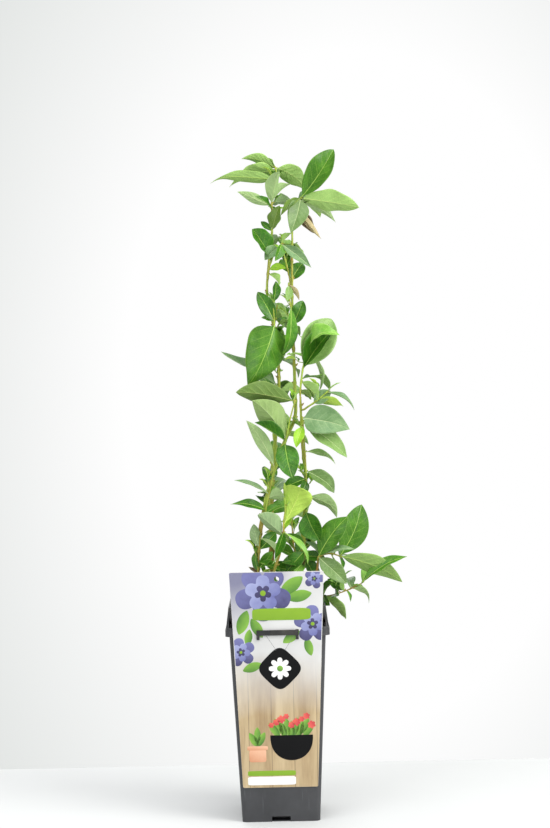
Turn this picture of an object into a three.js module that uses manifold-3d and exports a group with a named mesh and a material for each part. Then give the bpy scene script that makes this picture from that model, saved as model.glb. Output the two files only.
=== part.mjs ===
// A young highbush blueberry in a deep square nursery pot with a picture card.
// Millimetres, +Z up, front towards -Y. The origin is the centre of the pot's flat underside.

import * as THREE from 'three';
import { mergeVertices } from 'three/addons/utils/BufferGeometryUtils.js';
import Module from 'manifold-3d';

const wasm = await Module();
wasm.setup();

// ---- driving dimensions -------------------------------------------------

const gap = 0.3;

const pot = {
  baseWidth: 91.5,
  wallWidth: 113,
  wallTop: 221,
  lipWidth: 122,
  lipTop: 227,
  collarFoot: 121,
  collarWidth: 114,
  height: 253,
  wall: 1.6,
  floor: 2.2,
  corner: 6,
};
const alcove = { width: 21.8, height: 6.2, depth: 4.5 };
const drain = { radius: 5, offset: 26 };
const cornerSlot = { inner: 53, outer: 56.5, foot: 229.5 };
const sideWindow = { width: 8, height: 7, offset: 46, level: 242 };

const soilTop = 240;

const card = {
  topWidth: 110,
  bottomWidth: 88,
  foot: 41,
  top: 295,
  thickness: 0.8,
  corner: 3,
  holeRadius: 3,
  holeDrop: 8.5,
};
const clip = { width: 49, height: 6, thickness: 2.2, leg: 3.5, prong: 3.5, level: 224 };

// Stems and boughs: points from foot to tip, radius at both ends. A foot is drawn a little too
// long and cut flat just above the soil.
const footSink = 4;
const limbs = {
  stem_tall: {
    foot: 2.6, tip: 0.9, sides: 8, steps: 26,
    points: [[0, 0, soilTop - footSink], [-5, 6, 302], [-4, 11, 374], [2, 12, 447], [8, 9, 519],
      [5, 5, 573], [-4, 0, 618], [-2, -2, 653], [3, 0, 693]],
  },
  stem_left: {
    foot: 2.4, tip: 0.9, sides: 8, steps: 28,
    points: [[-6, -8, soilTop - footSink], [-21, -12, 272], [-22, -12, 308], [-16, -12, 350],
      [2, -8, 417], [16, -5, 451], [26, 2, 473], [27, 9, 510], [26, 11, 615], [28, 6, 705]],
  },
  stem_right: {
    foot: 2.3, tip: 1, sides: 8, steps: 16,
    points: [[13, -2, soilTop - footSink], [30, -2, 288], [33, -4, 338], [38, -6, 386],
      [34, -10, 446], [33, -12, 499]],
  },
  bough_low_right: {
    foot: 1.9, tip: 1.1, sides: 7, steps: 8,
    points: [[20, -14, soilTop - footSink], [40, -18, 272], [48, -20, 290], [50, -20, 304]],
  },
  bough_far_right: {
    foot: 1.9, tip: 1.2, sides: 7, steps: 6,
    points: [[24, 3, soilTop - footSink], [40, -3, 252], [54, -7, 258]],
  },
  bough_front: {
    foot: 1.8, tip: 1, sides: 7, steps: 8,
    points: [[2, -17, soilTop - footSink], [-5, -26, 280], [5, -31, 315], [9, -32, 335]],
  },
};
const footFlare = { factor: 0.55, reach: 9 };
const twig = { sides: 5, step: 9, foot: 1, tip: 0.6, start: 3, sink: 2.5 };

// A leaf's outline: share of the length, and share of the full half width there.
const outline = [[0, 0], [0.04, 0.1], [0.26, 0.76], [0.52, 1], [0.83, 0.55], [1, 0]];
const blade = { thickness: 1.05, foldLow: 0.15, foldRange: 0.25, twistRange: 30 };

// Leaves of the fill: dealt round the back by the golden ratio, each a little different.
const fillRule = {
  deal: 0.618, widthShare: 0.42, riseRange: 84, rollRange: 90,
  lengthLow: 0.72, lengthRange: 0.5, archLow: 0.04, archRange: 0.1,
};

// Foliage masses: the limb each one springs from, the height where it leaves it (none at a tip),
// the points its twig runs through, and its leaves as
// [share along the twig, heading, rise, length, width, roll, arch].
// Heading 0 is +X and 90 is +Y; the roll turns the upper face (+) or the underside (-) forward.
const shoots = [
  {
    name: 'foliage_top_left', limb: 'stem_tall', seed: 11,
    points: [[4, 2, 717], [4, 2, 735], [10, 2, 764], [9, 3, 776]],
    leaves: [
      [0.06, 327, 75, 29, 15, 78, 0.04], [0.05, 146, 40, 22, 9, 60, 0.04],
      [0.36, 232, 28, 33, 13, 60, 0.05], [0.4, 190, 20, 47, 16, -65, 0.04],
      [0.44, 290, 55, 47, 24, 5, 0.05], [0.48, 20, 45, 33, 16, -20, 0.05],
      [0.73, 187, 4, 77, 20, -60, 0.04], [0.78, 152, 13, 62, 25, -50, 0.12],
      [0.86, 18, -4, 42, 26, -55, 0.2], [1, 166, 16, 40, 17, -40, 0.06],
    ],
    fill: { count: 4, from: 0.45, spread: 46, rise: -8, length: 46 },
  },
  {
    name: 'foliage_top_right', limb: 'stem_left', points: [[33, 4, 726], [40, 2, 739]], seed: 12,
    leaves: [
      [1, 353, 55, 71, 34, 80, 0.05], [0.95, 8, -9, 72, 27, -55, 0.05],
      [0.85, 28, -24, 56, 20, 5, 0.06], [0.88, 232, -65, 45, 22, 42, 0.04],
      [0.97, 228, -36, 32, 13, 40, 0.04], [0.6, 12, -51, 48, 13, 0, -0.12],
    ],
    fill: { count: 3, from: 0.3, spread: 50, rise: 12, length: 48 },
  },
  {
    name: 'foliage_upper_left', limb: 'stem_tall', level: 640, seed: 13,
    points: [[-1, -9, 652], [7, -9, 672], [16, -9, 683]],
    leaves: [
      [0.2, 317, -37, 24, 14, -60, 0.05], [0.85, 211, -8, 28, 16, 60, 0.05],
      [0.95, 340, -32, 43, 20, 66, 0.08], [1, 204, 28, 41, 27, 72, 0.06],
    ],
    fill: { count: 0 },
  },
  {
    name: 'foliage_back_upper', limb: 'stem_left', level: 628, seed: 14,
    points: [[24, 17, 640], [18, 22, 668], [14, 20, 694]],
    leaves: [],
    fill: { count: 7, from: 0.2, spread: 42, rise: 14, length: 46 },
  },
  {
    name: 'foliage_centre_upper', limb: 'stem_left', level: 584, seed: 15,
    points: [[25, 1, 598], [23, -2, 614], [22, -2, 636]],
    leaves: [
      [0.08, 5, 66, 33, 20, 80, 0.04], [0.5, 245, -78, 64, 17, 50, 0.05],
      [0.93, 254, -62, 22, 11, 35, 0.04], [1, 347, -56, 24, 7, 0, 0.04],
    ],
    fill: { count: 0 },
  },
  {
    name: 'foliage_middle_left', limb: 'stem_tall', level: 500, seed: 16,
    points: [[8, -1, 516], [6, -4, 549], [4, -7, 586], [3, -9, 614]],
    leaves: [
      [0.13, 167, 24, 79, 20, 25, 0.08], [0.76, 209, -66, 83, 43, 70, 0.06],
      [0.78, 203, 62, 43, 20, 78, 0.04], [0.8, 180, 15, 16, 8, 60, 0.04],
      [0.98, 44, 77, 27, 13, 80, 0.04],
    ],
    fill: { count: 0 },
  },
  {
    name: 'foliage_back_middle', limb: 'stem_tall', level: 536, seed: 17,
    points: [[8, 16, 552], [4, 22, 580], [8, 22, 612]],
    leaves: [],
    fill: { count: 8, from: 0.15, spread: 52, rise: 4, length: 54 },
  },
  {
    name: 'foliage_right_tip', limb: 'stem_right', points: [[36, -13, 527], [40, -14, 545], [47, -15, 565]],
    seed: 18,
    leaves: [
      [0.1, 328, -36, 20, 11, -65, 0.04], [0.41, 330, -34, 34, 22, -60, 0.06],
      [0.46, 353, 52, 70, 44, 56, 0.06], [0.68, 208, 16, 22, 7, 0, 0.04],
      [0.96, 334, -71, 57, 12, 20, 0.06], [1, 337, 7, 40, 20, -55, 0.14],
    ],
    fill: { count: 3, from: 0.3, spread: 45, rise: 20, length: 50 },
  },
  {
    name: 'foliage_right_cluster', limb: 'stem_right', level: 482, seed: 19,
    points: [[42, -18, 486], [50, -22, 491], [66, -27, 504]],
    leaves: [
      [0.45, 350, 34, 26, 17, 72, 0.05], [0.55, 335, -8, 37, 15, -50, 0.08],
      [0.97, 16, -23, 40, 13, 30, 0.05], [1, 340, 35, 21, 6, 10, 0.05],
    ],
    fill: { count: 0 },
  },
  {
    name: 'foliage_centre_left', limb: 'stem_left', level: 424, seed: 20,
    points: [[8, -14, 430], [15, -18, 447], [20, -20, 471], [27, -20, 495]],
    leaves: [
      [0.32, 285, -52, 50, 28, 12, 0.06], [0.4, 200, 49, 65, 36, -62, 0.06],
      [0.98, 195, 8, 73, 31, -62, 0.08],
    ],
    fill: { count: 0 },
  },
  {
    name: 'foliage_back_centre', limb: 'stem_tall', level: 446, seed: 21,
    points: [[0, 20, 458], [-2, 25, 486], [4, 24, 516]],
    leaves: [],
    fill: { count: 8, from: 0.15, spread: 54, rise: 6, length: 54 },
  },
  {
    name: 'foliage_right_middle', limb: 'stem_right', level: 366, seed: 22,
    points: [[38, -14, 377], [38, -16, 405], [37, -19, 434], [35, -20, 475]],
    leaves: [
      [0.1, 3, -28, 45, 20, -58, 0.1], [0.33, 237, -49, 20, 14, 70, 0.04],
      [0.38, 3, -43, 48, 20, 65, 0.05], [0.58, 12, -15, 42, 13, 35, 0.12],
      [0.86, 358, -36, 65, 26, 62, 0.05], [0.9, 234, -58, 30, 15, 32, 0.04],
      [1, 348, -21, 62, 34, 70, 0.06],
    ],
    fill: { count: 0 },
  },
  {
    name: 'foliage_left_low', limb: 'stem_left', level: 350, seed: 23,
    points: [[-12, -19, 360], [-6, -19, 385], [1, -17, 418]],
    leaves: [
      [0.26, 187, 15, 45, 15, 40, 0.15], [0.2, 343, 28, 24, 11, 60, 0.04],
      [0.46, 320, 8, 22, 17, -65, 0.04], [0.52, 191, 27, 48, 14, 40, 0.07],
      [1, 193, 55, 64, 24, -68, 0.05],
    ],
    fill: { count: 0 },
  },
  {
    name: 'foliage_front_lime', limb: 'bough_front', points: [[10, -33, 349], [13, -31, 370]], seed: 24,
    leaves: [
      [0.1, 350, -46, 50, 11, 25, 0.04], [0.12, 192, 42, 39, 24, -55, 0.05],
      [0.14, 29, 50, 20, 8, 20, 0.04], [0.4, 346, 50, 53, 33, -78, 0.08],
      [0.95, 262, 82, 31, 7, 20, 0.04], [1, 21, 78, 29, 7, 20, 0.04],
    ],
    fill: { count: 0 },
  },
  {
    name: 'foliage_back_low', limb: 'stem_tall', level: 352, seed: 25,
    points: [[-8, 18, 364], [-8, 25, 392], [0, 26, 420]],
    leaves: [],
    fill: { count: 8, from: 0.15, spread: 50, rise: 6, length: 52 },
  },
  {
    name: 'foliage_right_low', limb: 'stem_right', level: 300, seed: 26,
    points: [[34, -11, 312], [35, -13, 339], [37, -14, 364]],
    leaves: [
      [0.15, 30, -61, 34, 20, 80, 0.04], [0.28, 200, -45, 35, 19, 60, 0.05],
      [0.45, 0, -46, 26, 9, 20, 0.05], [0.97, 318, -62, 40, 26, 72, 0.08],
    ],
    fill: { count: 0 },
  },
  {
    name: 'foliage_left_foot', limb: 'stem_left', level: 256, seed: 27,
    points: [[-22, -20, 264], [-21, -21, 298], [-18, -20, 336]],
    leaves: [
      [0.45, 180, 43, 15, 6, 40, 0.04], [0.5, 112, 70, 26, 12, 70, 0.04],
      [0.53, 20, 47, 28, 15, 60, 0.05], [0.82, 212, 75, 30, 15, -70, 0.04],
      [0.95, 312, -38, 45, 14, -60, 0.1],
    ],
    fill: { count: 0 },
  },
  {
    name: 'foliage_back_foot', limb: 'stem_right', level: 278, seed: 28,
    points: [[28, 8, 292], [22, 18, 316], [20, 24, 350]],
    leaves: [],
    fill: { count: 8, from: 0.2, spread: 62, rise: 14, length: 50 },
  },
  {
    name: 'foliage_low_right', limb: 'bough_low_right', points: [[64, -21, 311], [78, -20, 307]], seed: 29,
    leaves: [
      [0.08, 347, 54, 62, 29, 78, 0.04], [0.1, 339, -39, 50, 20, -60, 0.05],
      [0.2, 335, 14, 45, 13, 30, 0.05], [0.6, 330, -80, 38, 10, 20, 0.04],
      [0.93, 14, 66, 68, 33, 78, 0.04], [0.96, 50, -72, 20, 13, 70, 0.04],
      [1, 7, -22, 74, 25, -58, 0.08],
    ],
    fill: { count: 3, from: 0.3, spread: 45, rise: 25, length: 46 },
  },
  {
    name: 'foliage_far_right', limb: 'bough_far_right', seed: 30,
    points: [[61, -8.5, 259.5], [71, -10, 261.5], [89, -10, 268], [104, -10, 275]],
    leaves: [
      [0.16, 325, -41, 34, 18, -45, 0.1], [0.3, 280, 5, 20, 14, 60, 0.05],
      [0.52, 271, 72, 20, 13, 60, 0.04], [0.55, 159, 32, 27, 13, 60, 0.05],
      [0.58, 40, -64, 16, 9, 60, 0.04], [0.7, 345, -32, 29, 14, -40, 0.14],
      [1, 346, 33, 58, 17, 50, 0.05],
    ],
    fill: { count: 3, from: 0.35, spread: 45, rise: 18, length: 40 },
  },
];

// How far a leaf may be turned to stay clear of a limb or of another mass, in degrees.
const leafTurns = [0, 8, -8, 16, -16, 24, -24];
const clearance = 0.35;

// ---- materials ----------------------------------------------------------

const paint = {
  plastic: new THREE.MeshStandardMaterial({ color: 0x4a4a4d, roughness: 0.5, metalness: 0 }),
  peat: new THREE.MeshStandardMaterial({ color: 0x3a2a1f, roughness: 1, metalness: 0 }),
  print: new THREE.MeshStandardMaterial({ color: 0xdcdad2, roughness: 0.35, metalness: 0 }),
  bark: new THREE.MeshStandardMaterial({ color: 0x93a04a, roughness: 0.7, metalness: 0 }),
  leaf: new THREE.MeshStandardMaterial({ color: 0x4f8a33, roughness: 0.45, metalness: 0 }),
};

// ---- geometry helpers ---------------------------------------------------

const vector = (point) => new THREE.Vector3(...point);

function solidOf(geometry) {
  const bare = geometry.clone();
  bare.deleteAttribute('normal');
  bare.deleteAttribute('uv');
  const merged = mergeVertices(bare, 1e-4);
  return new wasm.Manifold(new wasm.Mesh({
    numProp: 3,
    vertProperties: new Float32Array(merged.attributes.position.array),
    triVerts: new Uint32Array(merged.index.array),
  }));
}

function geometryOf(solid) {
  const mesh = solid.getMesh();
  const geometry = new THREE.BufferGeometry();
  geometry.setAttribute('position', new THREE.BufferAttribute(mesh.vertProperties, 3));
  geometry.setIndex(new THREE.BufferAttribute(mesh.triVerts, 1));
  return geometry;
}

// Joins the solids into one body: loose scraps and sealed hollows are left out.
function fuse(solids) {
  const joined = solids.slice(1).reduce((sum, solid) => sum.add(solid), solids[0]);
  const bodies = joined.decompose().sort((a, b) => b.volume() - a.volume());
  return bodies[0];
}

const touches = (solid, others) => others.some((other) => solid.intersect(other).volume() > 0);

// A small repeatable random stream between 0 and 1.
function seeded(seed) {
  const modulus = 2147483647;
  const multiplier = 16807;
  const spacing = 7919;
  let state = seed * spacing;
  return () => {
    state = (state * multiplier) % modulus;
    return state / modulus;
  };
}

function heading(degrees, rise) {
  const turn = THREE.MathUtils.degToRad(degrees);
  const lift = THREE.MathUtils.degToRad(rise);
  return new THREE.Vector3(
    Math.cos(turn) * Math.cos(lift),
    Math.sin(turn) * Math.cos(lift),
    Math.sin(lift),
  );
}

// ---- pot, soil, card and clip -------------------------------------------

function squareOutline(width, corner) {
  const half = width / 2;
  const straight = half - corner;
  const shape = new THREE.Shape();
  shape.moveTo(-straight, -half);
  shape.lineTo(straight, -half);
  shape.absarc(straight, -straight, corner, -Math.PI / 2, 0);
  shape.absarc(straight, straight, corner, 0, Math.PI / 2);
  shape.absarc(-straight, straight, corner, Math.PI / 2, Math.PI);
  shape.absarc(-straight, -straight, corner, Math.PI, Math.PI * 1.5);
  return shape;
}

// A square block with round corners that widens from one width to another.
function taperedBlock(lowWidth, highWidth, low, high, corner) {
  const geometry = new THREE.ExtrudeGeometry(squareOutline(lowWidth, corner), {
    depth: high - low, bevelEnabled: false, curveSegments: 3,
  });
  const position = geometry.attributes.position;
  for (let i = 0; i < position.count; i += 1) {
    const share = position.getZ(i) / (high - low);
    const scale = 1 + (highWidth / lowWidth - 1) * share;
    position.setXYZ(i, position.getX(i) * scale, position.getY(i) * scale, position.getZ(i) + low);
  }
  return solidOf(geometry);
}

function box(width, depth, height, x, y, z) {
  return solidOf(new THREE.BoxGeometry(width, depth, height).translate(x, y, z));
}

const lipFoot = pot.wallTop - pot.wall;

// Width of the pot's outer wall at a height.
function wallWidthAt(height) {
  return THREE.MathUtils.lerp(pot.baseWidth, pot.wallWidth, height / pot.wallTop);
}

// The four sides are alike, so what one side has is turned onto the others.
function onFourSides(solid) {
  return [0, 90, 180, 270].map((turn) => solid.rotate([0, 0, turn]));
}

function alcoveBlock(margin) {
  const depth = alcove.depth + margin;
  const height = alcove.height + margin;
  return box(alcove.width + margin * 2, depth * 2, height * 2, 0, -pot.baseWidth / 2, 0);
}

function potSolid() {
  const inner = pot.wall * 2;
  const foot = pot.floor;
  const ledge = pot.lipTop - pot.wall;
  let body = taperedBlock(pot.baseWidth, pot.wallWidth, 0, pot.wallTop, pot.corner)
    .add(taperedBlock(pot.lipWidth, pot.lipWidth, lipFoot, pot.lipTop, pot.corner))
    .add(taperedBlock(pot.collarFoot, pot.collarWidth, ledge, pot.height, pot.corner));
  body = body
    .subtract(taperedBlock(wallWidthAt(foot) - inner, pot.wallWidth - inner, foot, pot.wallTop + 1,
      pot.corner - pot.wall))
    .subtract(taperedBlock(pot.collarFoot - inner, pot.collarWidth - inner, pot.wallTop, pot.height + 1,
      pot.corner - pot.wall));

  const within = taperedBlock(pot.baseWidth, pot.wallWidth, 0, pot.wallTop, pot.corner);
  for (const side of onFourSides(alcoveBlock(pot.wall))) {
    body = body.add(side.intersect(within));
  }
  for (const side of onFourSides(alcoveBlock(0))) {
    body = body.subtract(side);
  }

  const slotWidth = cornerSlot.outer - cornerSlot.inner;
  const slotHeight = pot.height - cornerSlot.foot + 1;
  const slotMiddle = (cornerSlot.inner + cornerSlot.outer) / 2;
  const reach = pot.corner * 2;
  for (const hand of [-1, 1]) {
    const slot = box(slotWidth, reach, slotHeight, slotMiddle * hand, -pot.lipWidth / 2,
      cornerSlot.foot + slotHeight / 2);
    const window = box(sideWindow.width, reach, sideWindow.height, sideWindow.offset * hand,
      -pot.lipWidth / 2, sideWindow.level);
    for (const side of [...onFourSides(slot), ...onFourSides(window)]) {
      body = body.subtract(side);
    }
    for (const other of [-1, 1]) {
      const hole = new THREE.CylinderGeometry(drain.radius, drain.radius, pot.floor * 4, 12)
        .rotateX(Math.PI / 2)
        .translate(drain.offset * hand, drain.offset * other, 0);
      body = body.subtract(solidOf(hole));
    }
  }
  return fuse([body]);
}

function soilSolid() {
  const foot = pot.floor + gap;
  const shrink = (pot.wall + gap) * 2;
  let body = taperedBlock(wallWidthAt(foot) - shrink, wallWidthAt(soilTop) - shrink, foot,
    soilTop, pot.corner - pot.wall);
  for (const side of onFourSides(alcoveBlock(pot.wall + gap))) {
    body = body.subtract(side);
  }
  return fuse([body]);
}

// The card leans from the pot's wall at its foot out to the lower edge of the lip.
const cardLean = Math.atan2(
  pot.lipWidth / 2 - wallWidthAt(card.foot) / 2,
  lipFoot - card.foot,
);
const cardFootY = -wallWidthAt(card.foot) / 2 - gap;
const cardHeight = (card.top - card.foot) / Math.cos(cardLean);
const clipRise = (clip.level - card.foot) / Math.cos(cardLean);

function cardGeometry() {
  const shape = new THREE.Shape();
  const low = card.bottomWidth / 2;
  const high = card.topWidth / 2;
  const round = card.corner;
  shape.moveTo(-low + round, 0);
  shape.lineTo(low - round, 0);
  shape.quadraticCurveTo(low, 0, low, round);
  shape.lineTo(high, cardHeight - round);
  shape.quadraticCurveTo(high, cardHeight, high - round, cardHeight);
  shape.lineTo(-high + round, cardHeight);
  shape.quadraticCurveTo(-high, cardHeight, -high, cardHeight - round);
  shape.lineTo(-low, round);
  shape.quadraticCurveTo(-low, 0, -low + round, 0);

  const hole = new THREE.Path();
  hole.absarc(0, cardHeight - card.holeDrop, card.holeRadius, 0, Math.PI * 2, true);
  shape.holes.push(hole);
  const geometry = new THREE.ExtrudeGeometry(shape, {
    depth: card.thickness, bevelEnabled: false, curveSegments: 5,
  });
  let body = solidOf(geometry);
  for (const hand of [-1, 1]) {
    body = body.subtract(box(clip.leg + gap * 2, clip.height + gap * 2, card.thickness * 4,
      hand * (clip.width - clip.leg) / 2, clipRise, 0));
  }
  return geometryOf(body);
}

// A bar across the card with a leg through it at each end and a short prong below.
function clipGeometry() {
  const half = clip.width / 2;
  const top = clip.height / 2;
  const prongFoot = -top - clip.prong;
  const shape = new THREE.Shape();
  shape.moveTo(-half, top);
  shape.lineTo(-half, prongFoot);
  shape.lineTo(-half + clip.leg, prongFoot);
  shape.lineTo(-half + clip.leg, -top);
  shape.lineTo(half - clip.leg, -top);
  shape.lineTo(half - clip.leg, prongFoot);
  shape.lineTo(half, prongFoot);
  shape.lineTo(half, top);
  shape.closePath();
  const front = card.thickness + gap;
  const bar = new THREE.ExtrudeGeometry(shape, { depth: clip.thickness, bevelEnabled: false })
    .translate(0, clipRise, front);
  const legDepth = front + clip.thickness / 2;
  const legs = [-1, 1].map((hand) => box(clip.leg, clip.height, legDepth,
    hand * (clip.width - clip.leg) / 2, clipRise, legDepth / 2));
  return geometryOf(fuse([solidOf(bar), ...legs]));
}

// ---- limbs and leaves ---------------------------------------------------

// A closed cylinder bent along a curve, with its radius given along the way.
function bentTube(curve, sides, steps, radiusAt) {
  const geometry = new THREE.CylinderGeometry(1, 1, 1, sides, steps);
  const frames = curve.computeFrenetFrames(steps, false);
  const position = geometry.attributes.position;
  for (let i = 0; i < position.count; i += 1) {
    const share = THREE.MathUtils.clamp(position.getY(i) + 0.5, 0, 1);
    const step = Math.round(share * steps);
    const radius = radiusAt(share);
    const point = curve.getPointAt(share)
      .addScaledVector(frames.normals[step], position.getX(i) * radius)
      .addScaledVector(frames.binormals[step], -position.getZ(i) * radius);
    position.setXYZ(i, point.x, point.y, point.z);
  }
  return solidOf(geometry);
}

function limbCurve(limb) {
  return new THREE.CatmullRomCurve3(limb.points.map(vector), false, 'centripetal');
}

// Radius along a limb: an even taper with a short flare where it leaves the soil.
function limbRadius(limb, length, share) {
  const flare = limb.foot * footFlare.factor * Math.exp(-share * length / footFlare.reach);
  return THREE.MathUtils.lerp(limb.foot, limb.tip, share) + flare;
}

function limbSolid(limb, margin) {
  const curve = limbCurve(limb);
  const length = curve.getLength();
  const radiusAt = (share) => limbRadius(limb, length, share) + margin;
  const below = box(pot.lipWidth, pot.lipWidth, footSink * 4, 0, 0, soilTop + gap - footSink * 2);
  return bentTube(curve, limb.sides, limb.steps, radiusAt).subtract(below);
}

// Where a mass's twig starts: off the limb's tip, or off its side at a level.
function twigStart(limb, level, towards) {
  const curve = limbCurve(limb);
  if (level === undefined) {
    const along = curve.getTangentAt(1);
    return { point: curve.getPointAt(1).addScaledVector(along, gap), away: along };
  }
  let share = 0;
  while (share < 1 && curve.getPointAt(share).z < level) {
    share += 0.002;
  }
  const axis = curve.getPointAt(share);
  const tangent = curve.getTangentAt(share);
  const away = towards.clone().sub(axis);
  away.addScaledVector(tangent, -away.dot(tangent)).normalize();
  const radius = limbRadius(limb, curve.getLength(), share);
  return { point: axis.addScaledVector(away, radius + gap), away };
}

function twigCurve(shoot) {
  const points = shoot.points.map(vector);
  const { point, away } = twigStart(limbs[shoot.limb], shoot.level, points[0]);
  const second = point.clone().addScaledVector(away, twig.start);
  return new THREE.CatmullRomCurve3([point, second, ...points], false, 'centripetal');
}

// One leaf: a four-sided closed blade, folded along its midrib, arched and a little twisted.
function leafSolid(root, leaf, margin) {
  const along = heading(leaf.heading, leaf.rise);
  const side = new THREE.Vector3(along.y, -along.x, 0).normalize();
  const up = side.clone().cross(along).normalize();
  const forward = side.y < 0 ? 1 : -1;
  const roll = THREE.MathUtils.degToRad(leaf.roll) * forward;
  const lengthwise = outline.length - 1;
  const geometry = new THREE.SphereGeometry(1, 4, lengthwise);
  const position = geometry.attributes.position;
  for (let i = 0; i < position.count; i += 1) {
    const [share, widthShare] = outline[Math.floor(i / 5)];
    const turn = roll + THREE.MathUtils.degToRad(leaf.twist) * (share - 0.5);
    const normal = up.clone().multiplyScalar(Math.cos(turn)).addScaledVector(side, Math.sin(turn));
    const across = normal.clone().cross(along);
    const quarter = (i % 5) % 4;
    const point = root.clone()
      .addScaledVector(along, share * leaf.length)
      .addScaledVector(normal, leaf.arch * leaf.length * 4 * share * (1 - share));
    const isRim = quarter % 2 === 0;
    const inside = widthShare > 0 ? 1 : 0;
    if (isRim) {
      const half = (widthShare * leaf.width) / 2 + margin * inside;
      const hand = quarter === 0 ? -1 : 1;
      point.addScaledVector(across, hand * half * Math.cos(leaf.fold));
      point.addScaledVector(normal, half * Math.sin(leaf.fold));
    } else {
      const hand = quarter === 1 ? 1 : -1;
      point.addScaledVector(normal, hand * (blade.thickness / 2 + margin) * inside);
    }
    position.setXYZ(i, point.x, point.y, point.z);
  }
  return solidOf(geometry);
}

// The leaves of a shoot: the ones set by hand, then the fill dealt round its back by a rule.
function leavesOf(shoot) {
  const random = seeded(shoot.seed);
  const set = shoot.leaves.map(([at, turn, rise, length, width, roll, arch]) => ({
    at, heading: turn, rise, length, width, roll, arch,
  }));
  const { count, from, spread, rise, length } = shoot.fill;
  for (let i = 0; i < count; i += 1) {
    const deal = (i * fillRule.deal) % 1;
    set.push({
      at: THREE.MathUtils.lerp(from, 1, i / (count - 1)),
      heading: 90 + (deal * 2 - 1) * spread,
      rise: rise + (random() - 0.5) * fillRule.riseRange,
      length: length * (fillRule.lengthLow + random() * fillRule.lengthRange),
      width: length * fillRule.widthShare,
      roll: (random() - 0.5) * fillRule.rollRange,
      arch: fillRule.archLow + random() * fillRule.archRange,
    });
  }
  for (const leaf of set) {
    leaf.fold = blade.foldLow + random() * blade.foldRange;
    leaf.twist = (random() - 0.5) * blade.twistRange;
  }
  return set;
}

// Adds the leaf where it stays clear of the obstacles, turned a little if it must be.
function placedLeaf(curve, leaf, obstacles) {
  const last = 1 - twig.sink / curve.getLength();
  const root = curve.getPointAt(Math.min(leaf.at, last));
  for (const turn of leafTurns) {
    const turned = { ...leaf, heading: leaf.heading + turn };
    if (!touches(leafSolid(root, turned, clearance), obstacles)) {
      return leafSolid(root, turned, 0);
    }
  }
  return null;
}

function massSolid(shoot, obstacles) {
  const curve = twigCurve(shoot);
  const steps = Math.max(4, Math.round(curve.getLength() / twig.step));
  const radiusAt = (share) => THREE.MathUtils.lerp(twig.foot, twig.tip, share);
  const solids = [bentTube(curve, twig.sides, steps, radiusAt)];
  for (const leaf of leavesOf(shoot)) {
    const solid = placedLeaf(curve, leaf, obstacles);
    if (solid) {
      solids.push(solid);
    }
  }
  return fuse(solids);
}

// ---- assembly -----------------------------------------------------------

const group = new THREE.Group();

function addMesh(parent, name, geometry, material) {
  const mesh = new THREE.Mesh(geometry, material);
  mesh.name = name;
  parent.add(mesh);
  return mesh;
}

const potBody = potSolid();
const soilBody = soilSolid();
addMesh(group, 'pot', geometryOf(potBody), paint.plastic);
addMesh(group, 'soil', geometryOf(soilBody), paint.peat);

const cardGroup = new THREE.Group();
cardGroup.position.set(0, cardFootY, card.foot);
cardGroup.rotation.x = Math.PI / 2 + cardLean;
addMesh(cardGroup, 'label_card', cardGeometry(), paint.print);
addMesh(cardGroup, 'label_clip', clipGeometry(), paint.plastic);
group.add(cardGroup);

const obstacles = [potBody, soilBody];
cardGroup.updateMatrixWorld(true);
for (const mesh of cardGroup.children) {
  const placed = mesh.geometry.clone().applyMatrix4(mesh.matrixWorld);
  obstacles.push(solidOf(placed));
}
for (const [name, limb] of Object.entries(limbs)) {
  addMesh(group, name, geometryOf(limbSolid(limb, 0)), paint.bark);
  obstacles.push(limbSolid(limb, clearance));
}
for (const shoot of shoots) {
  const solid = massSolid(shoot, obstacles);
  addMesh(group, shoot.name, geometryOf(solid), paint.leaf);
  obstacles.push(solid);
}

export default group;
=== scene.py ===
import math
from contextlib import contextmanager

import bpy
import numpy as np
from mathutils import Matrix, Vector, noise


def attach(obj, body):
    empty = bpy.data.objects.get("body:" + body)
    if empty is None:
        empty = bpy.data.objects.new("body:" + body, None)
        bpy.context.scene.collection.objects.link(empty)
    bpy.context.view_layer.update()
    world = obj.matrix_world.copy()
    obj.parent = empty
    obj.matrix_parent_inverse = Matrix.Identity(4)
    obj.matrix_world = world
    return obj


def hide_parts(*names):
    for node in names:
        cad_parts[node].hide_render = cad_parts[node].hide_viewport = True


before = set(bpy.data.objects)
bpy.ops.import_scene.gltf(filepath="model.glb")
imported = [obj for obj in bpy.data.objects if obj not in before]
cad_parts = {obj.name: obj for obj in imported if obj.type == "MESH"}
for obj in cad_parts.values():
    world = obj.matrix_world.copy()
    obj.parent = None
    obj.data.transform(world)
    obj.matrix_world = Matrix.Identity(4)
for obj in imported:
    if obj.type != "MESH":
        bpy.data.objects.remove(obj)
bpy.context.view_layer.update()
mm = 0.001
print("frame loaded:", len(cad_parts), "nodes")


# small helpers for objects

def startFresh():
    if bpy.context.object and bpy.context.object.mode != "OBJECT":
        bpy.ops.object.mode_set(mode="OBJECT")
    bpy.ops.object.select_all(action="DESELECT")


def pick(thing):
    startFresh()
    thing.select_set(True)
    bpy.context.view_layer.objects.active = thing


@contextmanager
def editing(thing):
    # edit mode with all of the mesh selected
    pick(thing)
    bpy.ops.object.mode_set(mode="EDIT")
    bpy.ops.mesh.select_all(action="SELECT")
    yield
    bpy.ops.object.mode_set(mode="OBJECT")


def extrudeUp(height):
    bpy.ops.mesh.extrude_region_move(TRANSFORM_OT_translate={"value": (0, 0, height)})


def settle(thing):
    # place, turn and size go into the mesh
    pick(thing)
    bpy.ops.object.transform_apply(location=True, rotation=True, scale=True)


def modify(thing, kind, **settings):
    pick(thing)
    modifier = thing.modifiers.new(kind.title(), kind)
    for key, value in settings.items():
        setattr(modifier, key, value)
    bpy.ops.object.modifier_apply(modifier=modifier.name)


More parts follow.
